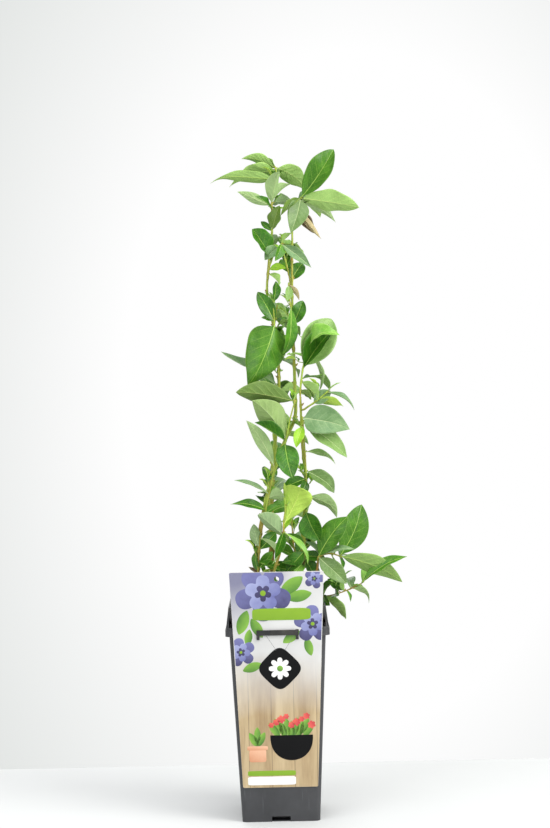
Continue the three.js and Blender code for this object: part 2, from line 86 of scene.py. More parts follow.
def joinAll(things):
    startFresh()
    for thing in things:
        thing.select_set(True)
    bpy.context.view_layer.objects.active = things[0]
    if len(things) > 1:
        bpy.ops.object.join()
    return bpy.context.object


def drop(thing):
    bpy.data.meshes.remove(thing.data)


def addBox(width, depth, height, middle):
    startFresh()
    bpy.ops.mesh.primitive_cube_add(size=1, location=middle)
    box = bpy.context.object
    box.scale = (width, depth, height)
    settle(box)
    return box


def addRod(radius, depth, middle, corners):
    startFresh()
    bpy.ops.mesh.primitive_cylinder_add(
        vertices=corners, radius=radius, depth=depth, location=middle)
    rod = bpy.context.object
    settle(rod)
    return rod


def turnedRound(makeOne):
    # the four sides of the pot are alike
    made = []
    for quarter in range(4):
        one = makeOne()
        one.data.transform(Matrix.Rotation(math.radians(90 * quarter), 4, "Z"))
        made.append(one)
    return joinAll(made)


def cut(thing, cutter, operation="DIFFERENCE"):
    modify(thing, "BOOLEAN", object=cutter, operation=operation, solver="EXACT")
    drop(cutter)


def facingOut(thing):
    with editing(thing):
        bpy.ops.mesh.normals_make_consistent(inside=False)


def smooth(thing, degrees):
    pick(thing)
    bpy.ops.object.shade_smooth_by_angle(angle=math.radians(degrees))


def roundEdges(thing, width, segments, sharpest, shaded):
    # bevels the edges past an angle and shades the rest smooth up to another
    modify(thing, "BEVEL", width=width, segments=segments, limit_method="ANGLE",
           angle_limit=math.radians(sharpest))
    smooth(thing, shaded)


def wear(thing, name, finish, standsFor):
    # last step of every piece: its name, finish (none where it has its own), body, and the node it
    # stands for, which is hidden
    thing.name = thing.data.name = name
    if finish:
        thing.data.materials.clear()
        thing.data.materials.append(finish)
    thing.data.update()
    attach(thing, "root")
    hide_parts(standsFor)
    print("  piece", thing.name, len(thing.data.polygons), "faces")


# small helpers for finishes

def screen(red, green, blue):
    # a screen colour, 0 to 255, in the linear numbers of a shader
    return tuple(((c / 255 + 0.055) / 1.055) ** 2.4 for c in (red, green, blue)) + (1.0,)


def dimmed(colour, share):
    return tuple(c * share for c in colour[:3]) + (1.0,)


class Nodes:
    # short calls that add nodes to a tree

    def __init__(self, tree):
        self.tree = tree

    def add(self, kind, inputs=None, **options):
        made = self.tree.nodes.new("ShaderNode" + kind)
        for key, value in options.items():
            setattr(made, key, value)
        for key, value in (inputs or {}).items():
            if isinstance(value, bpy.types.NodeSocket):
                self.tree.links.new(value, made.inputs[key])
            else:
                made.inputs[key].default_value = value
        return made

    def calc(self, operation, first, second=0.0):
        return self.add("Math", {0: first, 1: second}, operation=operation).outputs[0]

    def plus(self, first, second):
        return self.calc("ADD", first, second)

    def minus(self, first, second):
        return self.calc("SUBTRACT", first, second)

    def times(self, first, second):
        return self.calc("MULTIPLY", first, second)

    def offMiddle(self, value):
        # how far a share lies from its middle, either way
        return self.calc("ABSOLUTE", self.minus(value, 0.5))

    def mix(self, share, first, second):
        return self.add("Mix", {0: share, 6: first, 7: second}, data_type="RGBA").outputs[2]

    def ranged(self, value, low, high, out=(0.0, 1.0)):
        inputs = {
            "Value": value, "From Min": low, "From Max": high, "To Min": out[0], "To Max": out[1]}
        return self.add("MapRange", inputs).outputs[0]

    def axes(self, vector):
        return self.add("SeparateXYZ", {0: vector}).outputs


class Finish(Nodes):
    # a material whose patterns lie on object coordinates

    def __init__(self, name, roughness, specular=0.5):
        self.material = bpy.data.materials.new(name)
        self.material.use_nodes = True
        super().__init__(self.material.node_tree)
        self.shader = self.tree.nodes["Principled BSDF"]
        self.shader.inputs["Roughness"].default_value = roughness
        self.shader.inputs["Specular IOR Level"].default_value = specular
        self.place = self.add("TexCoord").outputs["Object"]

    def speckle(self, scale, detail=4.0, stretch=(1, 1, 1)):
        spread = self.add("Mapping", {"Vector": self.place, "Scale": stretch}).outputs[0]
        inputs = {"Vector": spread, "Scale": scale, "Detail": detail, "Roughness": 0.6}
        return self.add("TexNoise", inputs).outputs[0]

    def cloud(self, scale, low, high, detail=4.0, stretch=(1, 1, 1), out=(0.0, 1.0)):
        # a speckle with more contrast
        return self.ranged(self.speckle(scale, detail, stretch), low, high, out)

    def drive(self, name, socket):
        self.tree.links.new(socket, self.shader.inputs[name])

    def bump(self, height, strength, distance):
        inputs = {"Height": height, "Strength": strength, "Distance": distance}
        self.drive("Normal", self.add("Bump", inputs).outputs[0])


# camera and studio

view = {
    "place": (0.0024, -2.0, 0.478),
    "roll": 1.2,
    "lens": 72.46,
    "sensor": 36,
    "nearest": 0.05,
}
studio = {
    "tableBack": 0.283,
    "tableFront": -4.0,
    "tableHalf": 4.0,
    "tableThick": 0.04,
    "tableEdge": 0.004,
    "tableColour": screen(226, 228, 228),
    "glow": screen(255, 255, 255),
    "rim": screen(224, 227, 225),
    "glowTowards": (0.05, 0.995, 0.01),
    "glowStretch": (1, 1, 0.7),
    "glowReach": (0.14, 0.28),
    "ambient": 0.6,
    "lampsAim": (0, 0, 0.4),
}
softboxes = [
    # name, place, size, power, colour
    ("softbox_right", (1.7, -1.1, 1.4), 1.3, 36, (1.0, 0.99, 0.96)),
    ("softbox_left", (-1.5, -1.8, 1.5), 1.6, 15, (0.97, 0.99, 1.0)),
    ("softbox_top", (0.2, -0.6, 2.4), 1.5, 20, (1.0, 1.0, 1.0)),
    ("softbox_back", (-0.6, 2.0, 1.6), 1.4, 12, (1.0, 1.0, 1.0)),
]


def setCamera():
    tilt = (math.radians(90), math.radians(view["roll"]), 0)
    bpy.ops.object.camera_add(location=view["place"], rotation=tilt)
    camera = bpy.context.object
    camera.data.lens = view["lens"]
    camera.data.sensor_width = view["sensor"]
    camera.data.clip_start = view["nearest"]
    bpy.context.scene.camera = camera


def setTable():
    back, front, thick = studio["tableBack"], studio["tableFront"], studio["tableThick"]
    middle = (0, (back + front) / 2, -thick / 2)
    table = addBox(studio["tableHalf"] * 2, back - front, thick, middle)
    modify(table, "BEVEL", width=studio["tableEdge"], segments=3)
    top = Finish("tableTop", 0.5, 0.3)
    pale = studio["tableColour"]
    top.drive("Base Color", top.mix(top.cloud(3, 0.3, 0.7), dimmed(pale, 0.97), pale))
    table.data.materials.append(top.material)
    table.name = "table_top"


def setAir():
    world = bpy.data.worlds.new("studioAir")
    bpy.context.scene.world = world
    world.use_nodes = True
    air = Nodes(world.node_tree)
    light = air.tree.nodes["Background"]
    light.inputs["Color"].default_value = (1, 1, 1, 1)
    light.inputs["Strength"].default_value = studio["ambient"]
    # what the camera sees is a glow that fades outwards from behind the plant
    direction = air.add("TexCoord").outputs["Generated"]
    stretched = air.add("Mapping", {"Vector": direction, "Scale": studio["glowStretch"]}).outputs[0]
    inputs = {0: stretched, 1: studio["glowTowards"]}
    away = air.add("VectorMath", inputs, operation="DISTANCE").outputs["Value"]
    fade = air.mix(air.ranged(away, *studio["glowReach"]), studio["glow"], studio["rim"])
    seen = air.add("Background", {"Color": fade}).outputs[0]
    camera = air.add("LightPath").outputs["Is Camera Ray"]
    both = air.add("MixShader", {0: camera, 1: light.outputs[0], 2: seen}).outputs[0]
    air.tree.links.new(both, air.tree.nodes["World Output"].inputs["Surface"])


def setLamps():
    for name, place, size, power, colour in softboxes:
        aim = (Vector(studio["lampsAim"]) - Vector(place)).to_track_quat("-Z", "Y").to_euler()
        bpy.ops.object.light_add(type="AREA", location=place, rotation=aim)
        lamp = bpy.context.object
        lamp.name = name
        lamp.data.shape = "DISK"
        lamp.data.size = size
        lamp.data.energy = power
        lamp.data.color = colour


startFresh()
setCamera()
setTable()
setAir()
setLamps()
bpy.context.scene.view_settings.view_transform = "Standard"
print("camera and studio ready")


# pot

potSize = {
    "base": 91.5 * mm,
    "wallTop": (113 * mm, 221 * mm),       # width, height
    "lip": (122 * mm, 219.4 * mm, 227 * mm),   # width, foot, top
    "collar": (121 * mm, 225.4 * mm, 114 * mm, 253 * mm),  # width and height, low then high
    "wall": 1.6 * mm,
    "floor": 2.2 * mm,
    "corner": 6 * mm,
    "alcove": (21.8 * mm, 15 * mm, 6.2 * mm),  # width, depth, height
    "sill": 0.8 * mm,
    "slot": (53 * mm, 56.5 * mm, 229.5 * mm),   # inner and outer edge, foot
    "window": (8 * mm, 7 * mm, 46 * mm, 242 * mm),  # width, height, offset, level
    "cutterReach": 12 * mm,
    "drain": (5 * mm, 26 * mm),            # radius, offset
    "edge": 0.45 * mm,
}
plasticLook = {
    "scratch": screen(112, 114, 118),
    "dust": screen(120, 112, 100),
    "dustRise": (0.2, 0.25),       # dust gathers above these levels, in metres
    "dustShare": 0.5,
    "roughness": (0.42, 0.54),
}


def widthBetween(low, lowAt, high, highAt, level):
    return low + (high - low) * (level - lowAt) / (highAt - lowAt)


def plasticFinish(name, low, high):
    skin, look = Finish(name, 0.47), plasticLook
    cloud = skin.cloud(22, 0.35, 0.65)
    scratch = skin.cloud(260, 0.66, 0.76, 2, (1, 1, 0.05), (0, 0.35))
    base = skin.mix(scratch, skin.mix(cloud, low, high), look["scratch"])
    height = skin.axes(skin.place)[2]
    dusty = skin.times(skin.ranged(height, *look["dustRise"]), skin.cloud(60, 0.5, 0.75))
    base = skin.mix(skin.times(dusty, look["dustShare"]), base, look["dust"])
    skin.drive("Base Color", base)
    skin.drive("Roughness", skin.ranged(cloud, 0, 1, look["roughness"]))
    skin.bump(skin.speckle(1500, 2), 0.12, 0.0002)
    return skin.material


def modelPotShell():
    size = potSize
    wallWidth, wallTop = size["wallTop"]
    lipWidth, lipFoot, lipTop = size["lip"]
    collarFoot, ledge, collarTop, height = size["collar"]
    twoWalls = size["wall"] * 2

    def wallAt(level):
        return widthBetween(size["base"], 0, wallWidth, wallTop, level)

    # width and height of each step, up the outside, over the rim and down the inside
    profile = [
        (wallAt(lipFoot), lipFoot), (lipWidth, lipFoot), (lipWidth, lipTop),
        (widthBetween(collarFoot, ledge, collarTop, height, lipTop), lipTop),
        (collarTop, height), (collarTop - twoWalls, height),
        (collarFoot - twoWalls, wallTop), (wallWidth - twoWalls, wallTop),
        (wallAt(size["floor"]) - twoWalls, size["floor"]),
    ]
    startFresh()
    bpy.ops.mesh.primitive_plane_add(size=size["base"])
    pot = bpy.context.object
    with editing(pot):
        bpy.ops.mesh.bevel(offset=size["corner"], segments=6, affect="VERTICES")
        bpy.ops.mesh.select_mode(type="FACE")
        bpy.ops.mesh.select_all(action="SELECT")
        width, level = size["base"], 0
        for nextWidth, nextLevel in profile:
            extrudeUp(nextLevel - level)
            grow = nextWidth / width
            bpy.ops.transform.resize(value=(grow, grow, 1))
            width, level = nextWidth, nextLevel
    facingOut(pot)
    return pot


def cutPotOpenings(pot):
    size = potSize
    twoWalls, sill, reach = size["wall"] * 2, size["sill"], size["cutterReach"]
    front, lipFront = -size["base"] / 2, -size["lip"][0] / 2

    # a notch in the foot of each wall, housed inside so that the pot stays closed
    width, depth, tall = size["alcove"]
    behind, under = 0.8 * mm, 1 * mm       # the housing starts inside the wall and the floor
    housing = (depth + size["wall"] - behind, tall + size["wall"] - under)
    cut(pot, turnedRound(lambda: addBox(
        width + twoWalls, housing[0], housing[1],
        (0, front + behind + housing[0] / 2, under + housing[1] / 2))), "UNION")
    cut(pot, turnedRound(lambda: addBox(width, twoWalls, tall * 2, (0, front, 0))))
    middle = (0, front, (tall + sill) / 2)
    cut(pot, turnedRound(lambda: addBox(width, depth * 2, tall - sill, middle)))

    # slots at the corners and small windows beside them
    inner, outer, slotFoot = size["slot"]
    windowWidth, windowHeight, offset, windowLevel = size["window"]
    slotHeight = size["collar"][3] - slotFoot + 1 * mm
    for hand in (-1, 1):
        cut(pot, turnedRound(lambda: addBox(
            outer - inner, reach, slotHeight,
            ((inner + outer) / 2 * hand, lipFront, slotFoot + slotHeight / 2))))
        cut(pot, turnedRound(lambda: addBox(
            windowWidth, reach, windowHeight, (offset * hand, lipFront, windowLevel))))
    radius, fromMiddle = size["drain"]
    cut(pot, turnedRound(lambda: addRod(radius, 0.02, (fromMiddle, fromMiddle, 0), 28)))


charcoal = plasticFinish("mouldedCharcoal", screen(54, 55, 58), screen(66, 67, 70))
clipBlack = plasticFinish("mouldedBlack", screen(26, 27, 29), screen(36, 37, 39))
potShell = modelPotShell()
cutPotOpenings(potShell)
roundEdges(potShell, potSize["edge"], 2, 40, 35)
wear(potShell, "pot_shell", charcoal, "pot")
print("pot done")


# soil

soilShape = {
    "half": 55.2 * mm,
    "top": 240 * mm,
    "foot": 200 * mm,
    "footHalf": 53.0 * mm,
    "cuts": 64,
    "relief": 2.4 * mm,
    "sunk": 0.6 * mm,
    "cornerShare": 0.93,     # how far the corners are pulled in, so that they follow the pot
    "cornerFrom": 0.72,
    "seed": 5,
}
soilColours = {
    "bed": (screen(38, 27, 20), screen(74, 54, 38)),
    "crumb": (screen(46, 32, 23), screen(92, 66, 44)),
    "grit": (screen(196, 190, 176), screen(228, 224, 212)),
    "chip": (screen(84, 56, 36), screen(128, 92, 60)),
    "fibre": screen(118, 88, 58),
}
grainKinds = {
    # count, least and greatest radius, flatness
    "soil_crumbs": (420, 0.6 * mm, 2.3 * mm, 0.75),
    "soil_grit": (34, 0.7 * mm, 1.5 * mm, 0.85),
    "soil_chips": (30, 1.6 * mm, 4.2 * mm, 0.22),
}


def peatFinish(name, colours, bump):
    skin = Finish(name, 0.95, 0.2)
    base = skin.mix(skin.cloud(180, 0.35, 0.68, 6), *colours)
    fibres = skin.cloud(500, 0.62, 0.72, 3, (1, 0.15, 1), (0, 0.6))
    skin.drive("Base Color", skin.mix(fibres, base, soilColours["fibre"]))
    skin.bump(skin.speckle(420, 8), bump, 0.001)
    return skin.material


def soilHeight(x, y):
    lumps = noise.noise(Vector((x, y, 0.31)) * 90) + 0.6 * noise.noise(Vector((x, y, 0.7)) * 260)
    return soilShape["top"] + soilShape["relief"] * 0.5 * lumps - soilShape["sunk"]


def seeded(seed):
    # the same small repeatable stream as in the part's source
    state = seed * 7919

    def draw():
        nonlocal state
        state = (state * 16807) % 2147483647
        return state / 2147483647
    return draw


def buildSoilBed():
    size = soilShape
    startFresh()
    bpy.ops.mesh.primitive_grid_add(
        x_subdivisions=size["cuts"], y_subdivisions=size["cuts"], size=size["half"] * 2)
    soil = bpy.context.object
    with editing(soil):
        extrudeUp(size["foot"] - size["top"])
        shrink = size["footHalf"] / size["half"]
        bpy.ops.transform.resize(value=(shrink, shrink, 1))
    for vertex in soil.data.vertices:
        x, y = vertex.co.x, vertex.co.y
        far = (abs(x) * abs(y)) / size["half"] ** 2     # 1 at a corner
        past = max(0, far - size["cornerFrom"])
        pull = 1 - (1 - size["cornerShare"]) * past / (1 - size["cornerFrom"])
        onTop = vertex.co.z > -1 * mm
        vertex.co.x, vertex.co.y = x * pull, y * pull
        vertex.co.z = soilHeight(x, y) if onTop else size["foot"]
    facingOut(soil)
    smooth(soil, 60)
    wear(soil, "soil_bed", peatFinish("moistPeat", soilColours["bed"], 0.9), "soil")


def scatterGrains(name, finish, random):
    count, least, greatest, squash = grainKinds[name]
    reach = soilShape["half"] - 3 * mm
    grains = []
    startFresh()
    bpy.ops.mesh.primitive_ico_sphere_add(subdivisions=2, radius=1)
    model = bpy.context.object
    for _ in range(count):
        x = (random() * 2 - 1) * reach
        y = (random() * 2 - 1) * reach
        radius = least + (greatest - least) * random() ** 2.2
        grain = model.copy()
        grain.data = model.data.copy()
        bpy.context.collection.objects.link(grain)
        shift = Vector((random(), random(), random())) * 10
        for vertex in grain.data.vertices:
            vertex.co *= 1 + 0.45 * noise.noise(vertex.co * 1.3 + shift)
        flat = Matrix.Diagonal((radius, radius * (0.6 + 0.4 * random()), radius * squash, 1))
        spin = Matrix.Rotation(random() * math.tau, 4, "Z")
        turn = spin @ Matrix.Rotation(random() - 0.5, 4, "X")
        rest = Matrix.Translation((x, y, soilHeight(x, y) + radius * squash * 0.35))
        grain.data.transform(rest @ turn @ flat)
        grains.append(grain)
    drop(model)
    joined = joinAll(grains)
    smooth(joined, 50)
    wear(joined, name, finish, "soil")


buildSoilBed()
grainRandom = seeded(soilShape["seed"])
scatterGrains("soil_crumbs", peatFinish("peatCrumb", soilColours["crumb"], 0.6), grainRandom)
scatterGrains("soil_grit", peatFinish("paleGrit", soilColours["grit"], 0.4), grainRandom)
scatterGrains("soil_chips", peatFinish("barkChip", soilColours["chip"], 0.7), grainRandom)
print("soil done")


# picture card and its clip

cardSize = {
    "topWidth": 110 * mm,
    "bottomWidth": 88 * mm,
    "foot": 41 * mm,
    "top": 295 * mm,
    "thick": 0.8 * mm,
    "corner": 1.8 * mm,
    "hole": (3 * mm, 8.5 * mm),     # radius, distance under the top edge
    "clearOfWall": 0.3 * mm,
    "edge": 0.12 * mm,
}
cardLook = {
    "wood": (screen(160, 132, 94), screen(204, 182, 142)),
    "grain": screen(142, 112, 78),
    "plank": 0.0265,         # width of a plank, in metres
    "joint": screen(96, 74, 54),
    "pale": (screen(200, 200, 200), screen(222, 222, 221)),
    "melt": (0.125, 0.2),    # the planks end and the pale ground begins at these levels
    "duskAt": (-0.05, -0.06, 0.3),
    "dusk": screen(92, 92, 136),
    "board": (screen(196, 194, 188), screen(222, 220, 214)),
}
clipSize = {
    "width": 49 * mm,
    "height": 6 * mm,
    "thick": 2.2 * mm,
    "leg": 3.5 * mm,
    "prong": 3.5 * mm,
    "level": 224 * mm,
    "gap": 0.3 * mm,         # between the clip and the card
    "edge": 0.5 * mm,
}
footWidth = widthBetween(potSize["base"], 0, *potSize["wallTop"], cardSize["foot"])
cardLean = math.atan2(potSize["lip"][0] / 2 - footWidth / 2, potSize["lip"][1] - cardSize["foot"])
cardTall = (cardSize["top"] - cardSize["foot"]) / math.cos(cardLean)
clipRise = (clipSize["level"] - cardSize["foot"]) / math.cos(cardLean)
clipHalf = (clipSize["width"] - clipSize["leg"]) / 2
cardPlace = (
    Matrix.Translation((0, -footWidth / 2 - cardSize["clearOfWall"], cardSize["foot"]))
    @ Matrix.Rotation(math.pi / 2 + cardLean, 4, "X")
)


def printedFinish(name, colour, second=None, roughness=0.32, shine=0.5):
    # printed ink under a thin satin coat, with a soft change of tone across each shape
    skin = Finish(name, roughness, shine)
    across, up, _ = skin.axes(skin.add("UVMap", uv_map="UVMap").outputs[0])
    fall = skin.plus(skin.times(across, 0.35), skin.times(up, 0.65))
    share = skin.plus(fall, skin.times(skin.minus(skin.speckle(90, 3), 0.5), 0.5))
    base = skin.mix(skin.ranged(share, 0.1, 0.9), second or dimmed(colour, 0.82), colour)
    skin.drive("Base Color", base)
    skin.shader.inputs["Coat Weight"].default_value = shine / 2
    skin.bump(skin.speckle(700, 2), 0.05, 0.0001)
    return skin.material


def cardFinish():
    # pale ground above, warm planks below, one melting into the other
    skin, look = Finish("cardPrint", 0.33), cardLook
    across, _, level = skin.axes(skin.place)
    wood = skin.mix(skin.cloud(60, 0.34, 0.66, 6, (1, 1, 0.09)), *look["wood"])
    wood = skin.mix(skin.cloud(320, 0.55, 0.75, 3, (1, 1, 0.05), (0, 0.4)), wood, look["grain"])
    plank = skin.calc("FRACT", skin.plus(skin.times(across, 1 / look["plank"]), 0.35))
    joint = skin.ranged(skin.offMiddle(plank), 0.482, 0.495)
    wood = skin.mix(skin.times(joint, 0.75), wood, look["joint"])
    haze = skin.cloud(14, 0.35, 0.65, 2)
    melt = skin.plus(level, skin.times(skin.minus(haze, 0.5), 0.012))
    base = skin.mix(skin.ranged(melt, *look["melt"]), wood, skin.mix(haze, *look["pale"]))
    corner = skin.add("VectorMath", {0: skin.place, 1: look["duskAt"]}, operation="DISTANCE")
    dusk = skin.ranged(corner.outputs["Value"], 0.075, 0.02, (0, 0.8))
    skin.drive("Base Color", skin.mix(dusk, base, look["dusk"]))
    skin.shader.inputs["Coat Weight"].default_value = 0.25
    skin.bump(skin.speckle(500, 2), 0.06, 0.0001)
    return skin.material


def boardFinish():
    skin = Finish("cardBoard", 0.8, 0.2)
    fibre = skin.cloud(700, 0.35, 0.65)
    skin.drive("Base Color", skin.mix(fibre, *cardLook["board"]))
    skin.bump(fibre, 0.15, 0.0001)
    return skin.material


def punchHole(thing):
    radius, under = cardSize["hole"]
    cut(thing, addRod(radius, 0.01, (0, cardTall - under, 0), 40))


def buildCard():
    size = cardSize
    startFresh()
    bpy.ops.mesh.primitive_plane_add(size=1, location=(0, 0.5, 0))
    card = bpy.context.object
    settle(card)
    for vertex in card.data.vertices:
        width = size["topWidth"] if vertex.co.y > 0.5 else size["bottomWidth"]
        vertex.co.x *= width
        vertex.co.y *= cardTall
    with editing(card):
        bpy.ops.mesh.bevel(offset=size["corner"], segments=5, affect="VERTICES")
        bpy.ops.mesh.select_all(action="SELECT")
        extrudeUp(size["thick"])
    facingOut(card)
    punchHole(card)
    gap = clipSize["gap"] * 2
    slit = (clipSize["leg"] + gap, clipSize["height"] + gap, 0.01)
    cut(card, joinAll([addBox(*slit, (hand * clipHalf, clipRise, 0)) for hand in (-1, 1)]))
    roundEdges(card, size["edge"], 1, 50, 30)
    # the print lies on the front alone
    front = [face.normal.z > 0.9 and face.center.z > size["thick"] * 0.9 for face in card.data.polygons]
    card.data.transform(cardPlace)
    for finish in (cardFinish(), boardFinish()):
        card.data.materials.append(finish)
    card.data.polygons.foreach_set("material_index", [0 if seen else 1 for seen in front])
    wear(card, "card_sheet", None, "label_card")


def buildClip(finish):
    size = clipSize
    middle = cardSize["thick"] + size["gap"] + size["thick"] / 2
    fall = size["prong"] + size["height"] / 2
    prongAt = clipRise - fall / 2 - size["height"] / 4
    clip = addBox(size["width"], size["height"], size["thick"], (0, clipRise, middle))
    for hand in (-1, 1):
        x = hand * clipHalf
        cut(clip, addBox(size["leg"], size["height"], middle, (x, clipRise, middle / 2)), "UNION")
        cut(clip, addBox(size["leg"], fall, size["thick"], (x, prongAt, middle)), "UNION")
    roundEdges(clip, size["edge"], 2, 50, 40)
    clip.data.transform(cardPlace)
    wear(clip, "card_clip", finish, "label_clip")


buildCard()
buildClip(clipBlack)
print("card and clip done")


# the card's print, flat shapes that each lie as a thin layer on the card

printLayer = 0.05 * mm
printMargin = 0.8 * mm
inkColours = {
    # lighter and darker tone
    "violet": (screen(118, 120, 176), screen(62, 58, 104)),
    "lilac": (screen(164, 170, 212), screen(104, 108, 168)),
    "dusk": (screen(70, 66, 112), screen(44, 40, 78)),
    "lime": (screen(136, 176, 28), screen(122, 164, 18)),
    "leaf": (screen(132, 182, 62), screen(66, 122, 32)),
    "charcoal": (screen(16, 16, 18), screen(10, 10, 12), 0.5, 0.12),     # duller than the rest
    "white": (screen(250, 250, 248), screen(240, 240, 238)),
    "coral": (screen(238, 104, 88), screen(196, 52, 62)),
    "peach": (screen(238, 190, 156), screen(212, 146, 108)),
}
flowerPlaces = ((-16, 230, 33, 54), (41, 193, 22, 20), (-43, 161, 17, 30), (44, 246, 12, 0))
leafPlaces = (
    # across, up, turn, length
    (17, 238, 38, 34), (26, 226, 12, 30), (-40, 196, 250, 30), (-24, 189, 300, 26),
    (16, 178, 215, 24), (-30, 143, 20, 24), (-34, 178, 80, 20), (36, 166, 285, 22),
)
cutLine = {
    "width": 0.35 * mm, "length": 20 * mm, "slant": 33,
    "middle": 3 * mm, "apart": 10.5 * mm, "under": 12.5 * mm,     # under the clip
}


def cropToCard(shape):
    # shapes that run off the card end a little inside its edge
    slope = math.atan2((cardSize["topWidth"] - cardSize["bottomWidth"]) / 2, cardTall)
    foot = cardSize["bottomWidth"] / 2 - printMargin
    sides = [((hand * foot, 0, 0), (hand * math.cos(slope), -math.sin(slope), 0)) for hand in (-1, 1)]
    with editing(shape):
        for point, outwards in [*sides, ((0, cardTall - printMargin, 0), (0, 1, 0))]:
            bpy.ops.mesh.select_all(action="SELECT")
            bpy.ops.mesh.bisect(plane_co=point, plane_no=outwards, use_fill=True, clear_outer=True)


def inkShape(outlineAt, centre, turn, layer, finish, corners, punched):
    # a disc whose rim is moved to the outline, then raised to its layer
    startFresh()
    bpy.ops.mesh.primitive_circle_add(vertices=corners, radius=1, fill_type="TRIFAN")
    shape = bpy.context.object
    for vertex in shape.data.vertices:
        if vertex.co.length > 0.5:
            vertex.co = (*outlineAt(math.atan2(vertex.co.y, vertex.co.x)), 0)
    with editing(shape):
        extrudeUp(printLayer * (layer + 1))
    facingOut(shape)
    place = Matrix.Translation((*centre, cardSize["thick"] - printLayer / 2))
    shape.data.transform(place @ Matrix.Rotation(math.radians(turn), 4, "Z"))
    cropToCard(shape)
    if punched:
        punchHole(shape)
    shape.data.materials.append(finish)
    return shape


# outlines, in millimetres, by angle

def ellipseOf(length, width):
    return lambda angle: (length * mm / 2 * math.cos(angle), width * mm / 2 * math.sin(angle))


def leafletOf(length, width):
    def outlineAt(angle):
        rise = math.sin(angle)
        return (length * mm / 2 * math.cos(angle), width * mm / 2 * rise * abs(rise) ** 0.6)
    return outlineAt


def panelOf(width, height, power):
    def outlineAt(angle):
        c, s = math.cos(angle), math.sin(angle)
        reach = (abs(c) ** power + abs(s) ** power) ** (-1 / power)
        return (width * mm / 2 * c * reach, height * mm / 2 * s * reach)
    return outlineAt


def petalsOf(radius, count, depth):
    def outlineAt(angle):
        reach = radius * mm * (1 - depth * (1 - abs(math.cos(count * angle / 2))) ** 1.4)
        return (reach * math.cos(angle), reach * math.sin(angle))
    return outlineAt


def bowlOf(width, height):
    def outlineAt(angle):
        c, s = math.cos(angle), math.sin(angle)
        return (width * mm / 2 * c, 0 if s > 0 else height * mm * -abs(s) ** 0.8)
    return outlineAt


def buildPrint():
    ink = {name: printedFinish("ink" + name.title(), *look) for name, look in inkColours.items()}
    shapes = []

    def put(finish, outlineAt, centre, turn=0, layer=0, corners=40, punched=False):
        middle = (centre[0] * mm, centre[1] * mm)
        shapes.append(inkShape(outlineAt, middle, turn, layer, ink[finish], corners, punched))

    def finishGroup(name):
        joined = joinAll(shapes)
        joined.data.transform(cardPlace)
        wear(joined, name, None, "label_card")
        shapes.clear()

    # large open flowers over the upper part, run off the edges, with leaves behind them
    for x, y, turn, length in leafPlaces:
        put("leaf", leafletOf(length, length * 0.46), (x, y), turn, 0, 28)
    for i, (x, y, radius, turn) in enumerate(flowerPlaces):
        underHole = i == 0         # the first flower lies under the card's hole
        put("violet", petalsOf(radius, 5, 0.42), (x, y), turn, 1, 90, underHole)
        put("lilac", petalsOf(radius * 0.64, 5, 0.4), (x, y), turn + 36, 2, 70, underHole)
        put("dusk", petalsOf(radius * 0.3, 5, 0.5), (x, y), turn, 3, 50)
        put("lime", ellipseOf(radius * 0.2, radius * 0.2), (x, y), 0, 4, 20)
    finishGroup("card_print_flowers")

    # blank panels: a pill, a dark lozenge with a plain rosette, a band and a block at the foot
    put("lime", panelOf(68, 14, 7), (5, 205), 0, 5, 72)
    put("charcoal", panelOf(41, 41, 4), (2, 141), 45, 1, 72)
    put("white", petalsOf(13, 8, 0.42), (2, 141), 0, 2, 96)
    put("leaf", ellipseOf(7, 7), (2, 141), 0, 3, 24)
    put("lime", panelOf(56, 6, 9), (-10, 17), 0, 1, 72)
    put("white", panelOf(56, 10, 12), (-10, 8), 0, 1, 72)
    finishGroup("card_print_panels")

    # a planted bowl and a small pot on the planks
    put("charcoal", bowlOf(50, 30), (14, 62), 0, 2, 60)
    for step in range(9):
        x = -6 + step * 5
        lean = 90 + (4 - step) * 9
        put("leaf", leafletOf(22, 8), (x, 68 + (step % 2) * 4), lean, 0, 24)
        bloom = (x + (step - 4) * 0.9, 74 + ((step * 5) % 4) * 3.4)
        put("coral", petalsOf(3.4 + (step % 3) * 0.7, 6, 0.3), bloom, step * 20, 3, 36)
    put("peach", panelOf(20, 15, 8), (-26, 38), 0, 2, 48)
    put("peach", panelOf(24, 5, 8), (-26, 47), 0, 3, 48)
    for lean, reach in ((62, 9), (90, 13), (120, 9)):
        away = math.radians(lean)
        tip = (-26 + reach * math.cos(away), 49 + reach * math.sin(away))
        put("leaf", leafletOf(20, 8), tip, lean, 1, 24)
    finishGroup("card_print_planting")


def buildCutLines():
    # the cut lines of the tongue that the clip holds, drawn as thin grey strips: a painted shade in the
    # slits
    lines = []
    for hand in (-1, 1):
        line = addBox(cutLine["width"], cutLine["length"], printLayer, (0, 0, 0))
        slant = Matrix.Rotation(math.radians(-hand * cutLine["slant"]), 4, "Z")
        across, up = cutLine["middle"] + hand * cutLine["apart"], clipRise - cutLine["under"]
        place = Matrix.Translation((across, up, cardSize["thick"] + printLayer * 2))
        line.data.transform(cardPlace @ place @ slant)
        lines.append(line)
    # painted shade for the slits, given the print's finish
    shade = printedFinish("cutShade", screen(120, 120, 122))
    wear(joinAll(lines), "card_cut_line_shade", shade, "label_card")


buildPrint()
buildCutLines()
print("print done")


# growth rules, the same as in the part's source

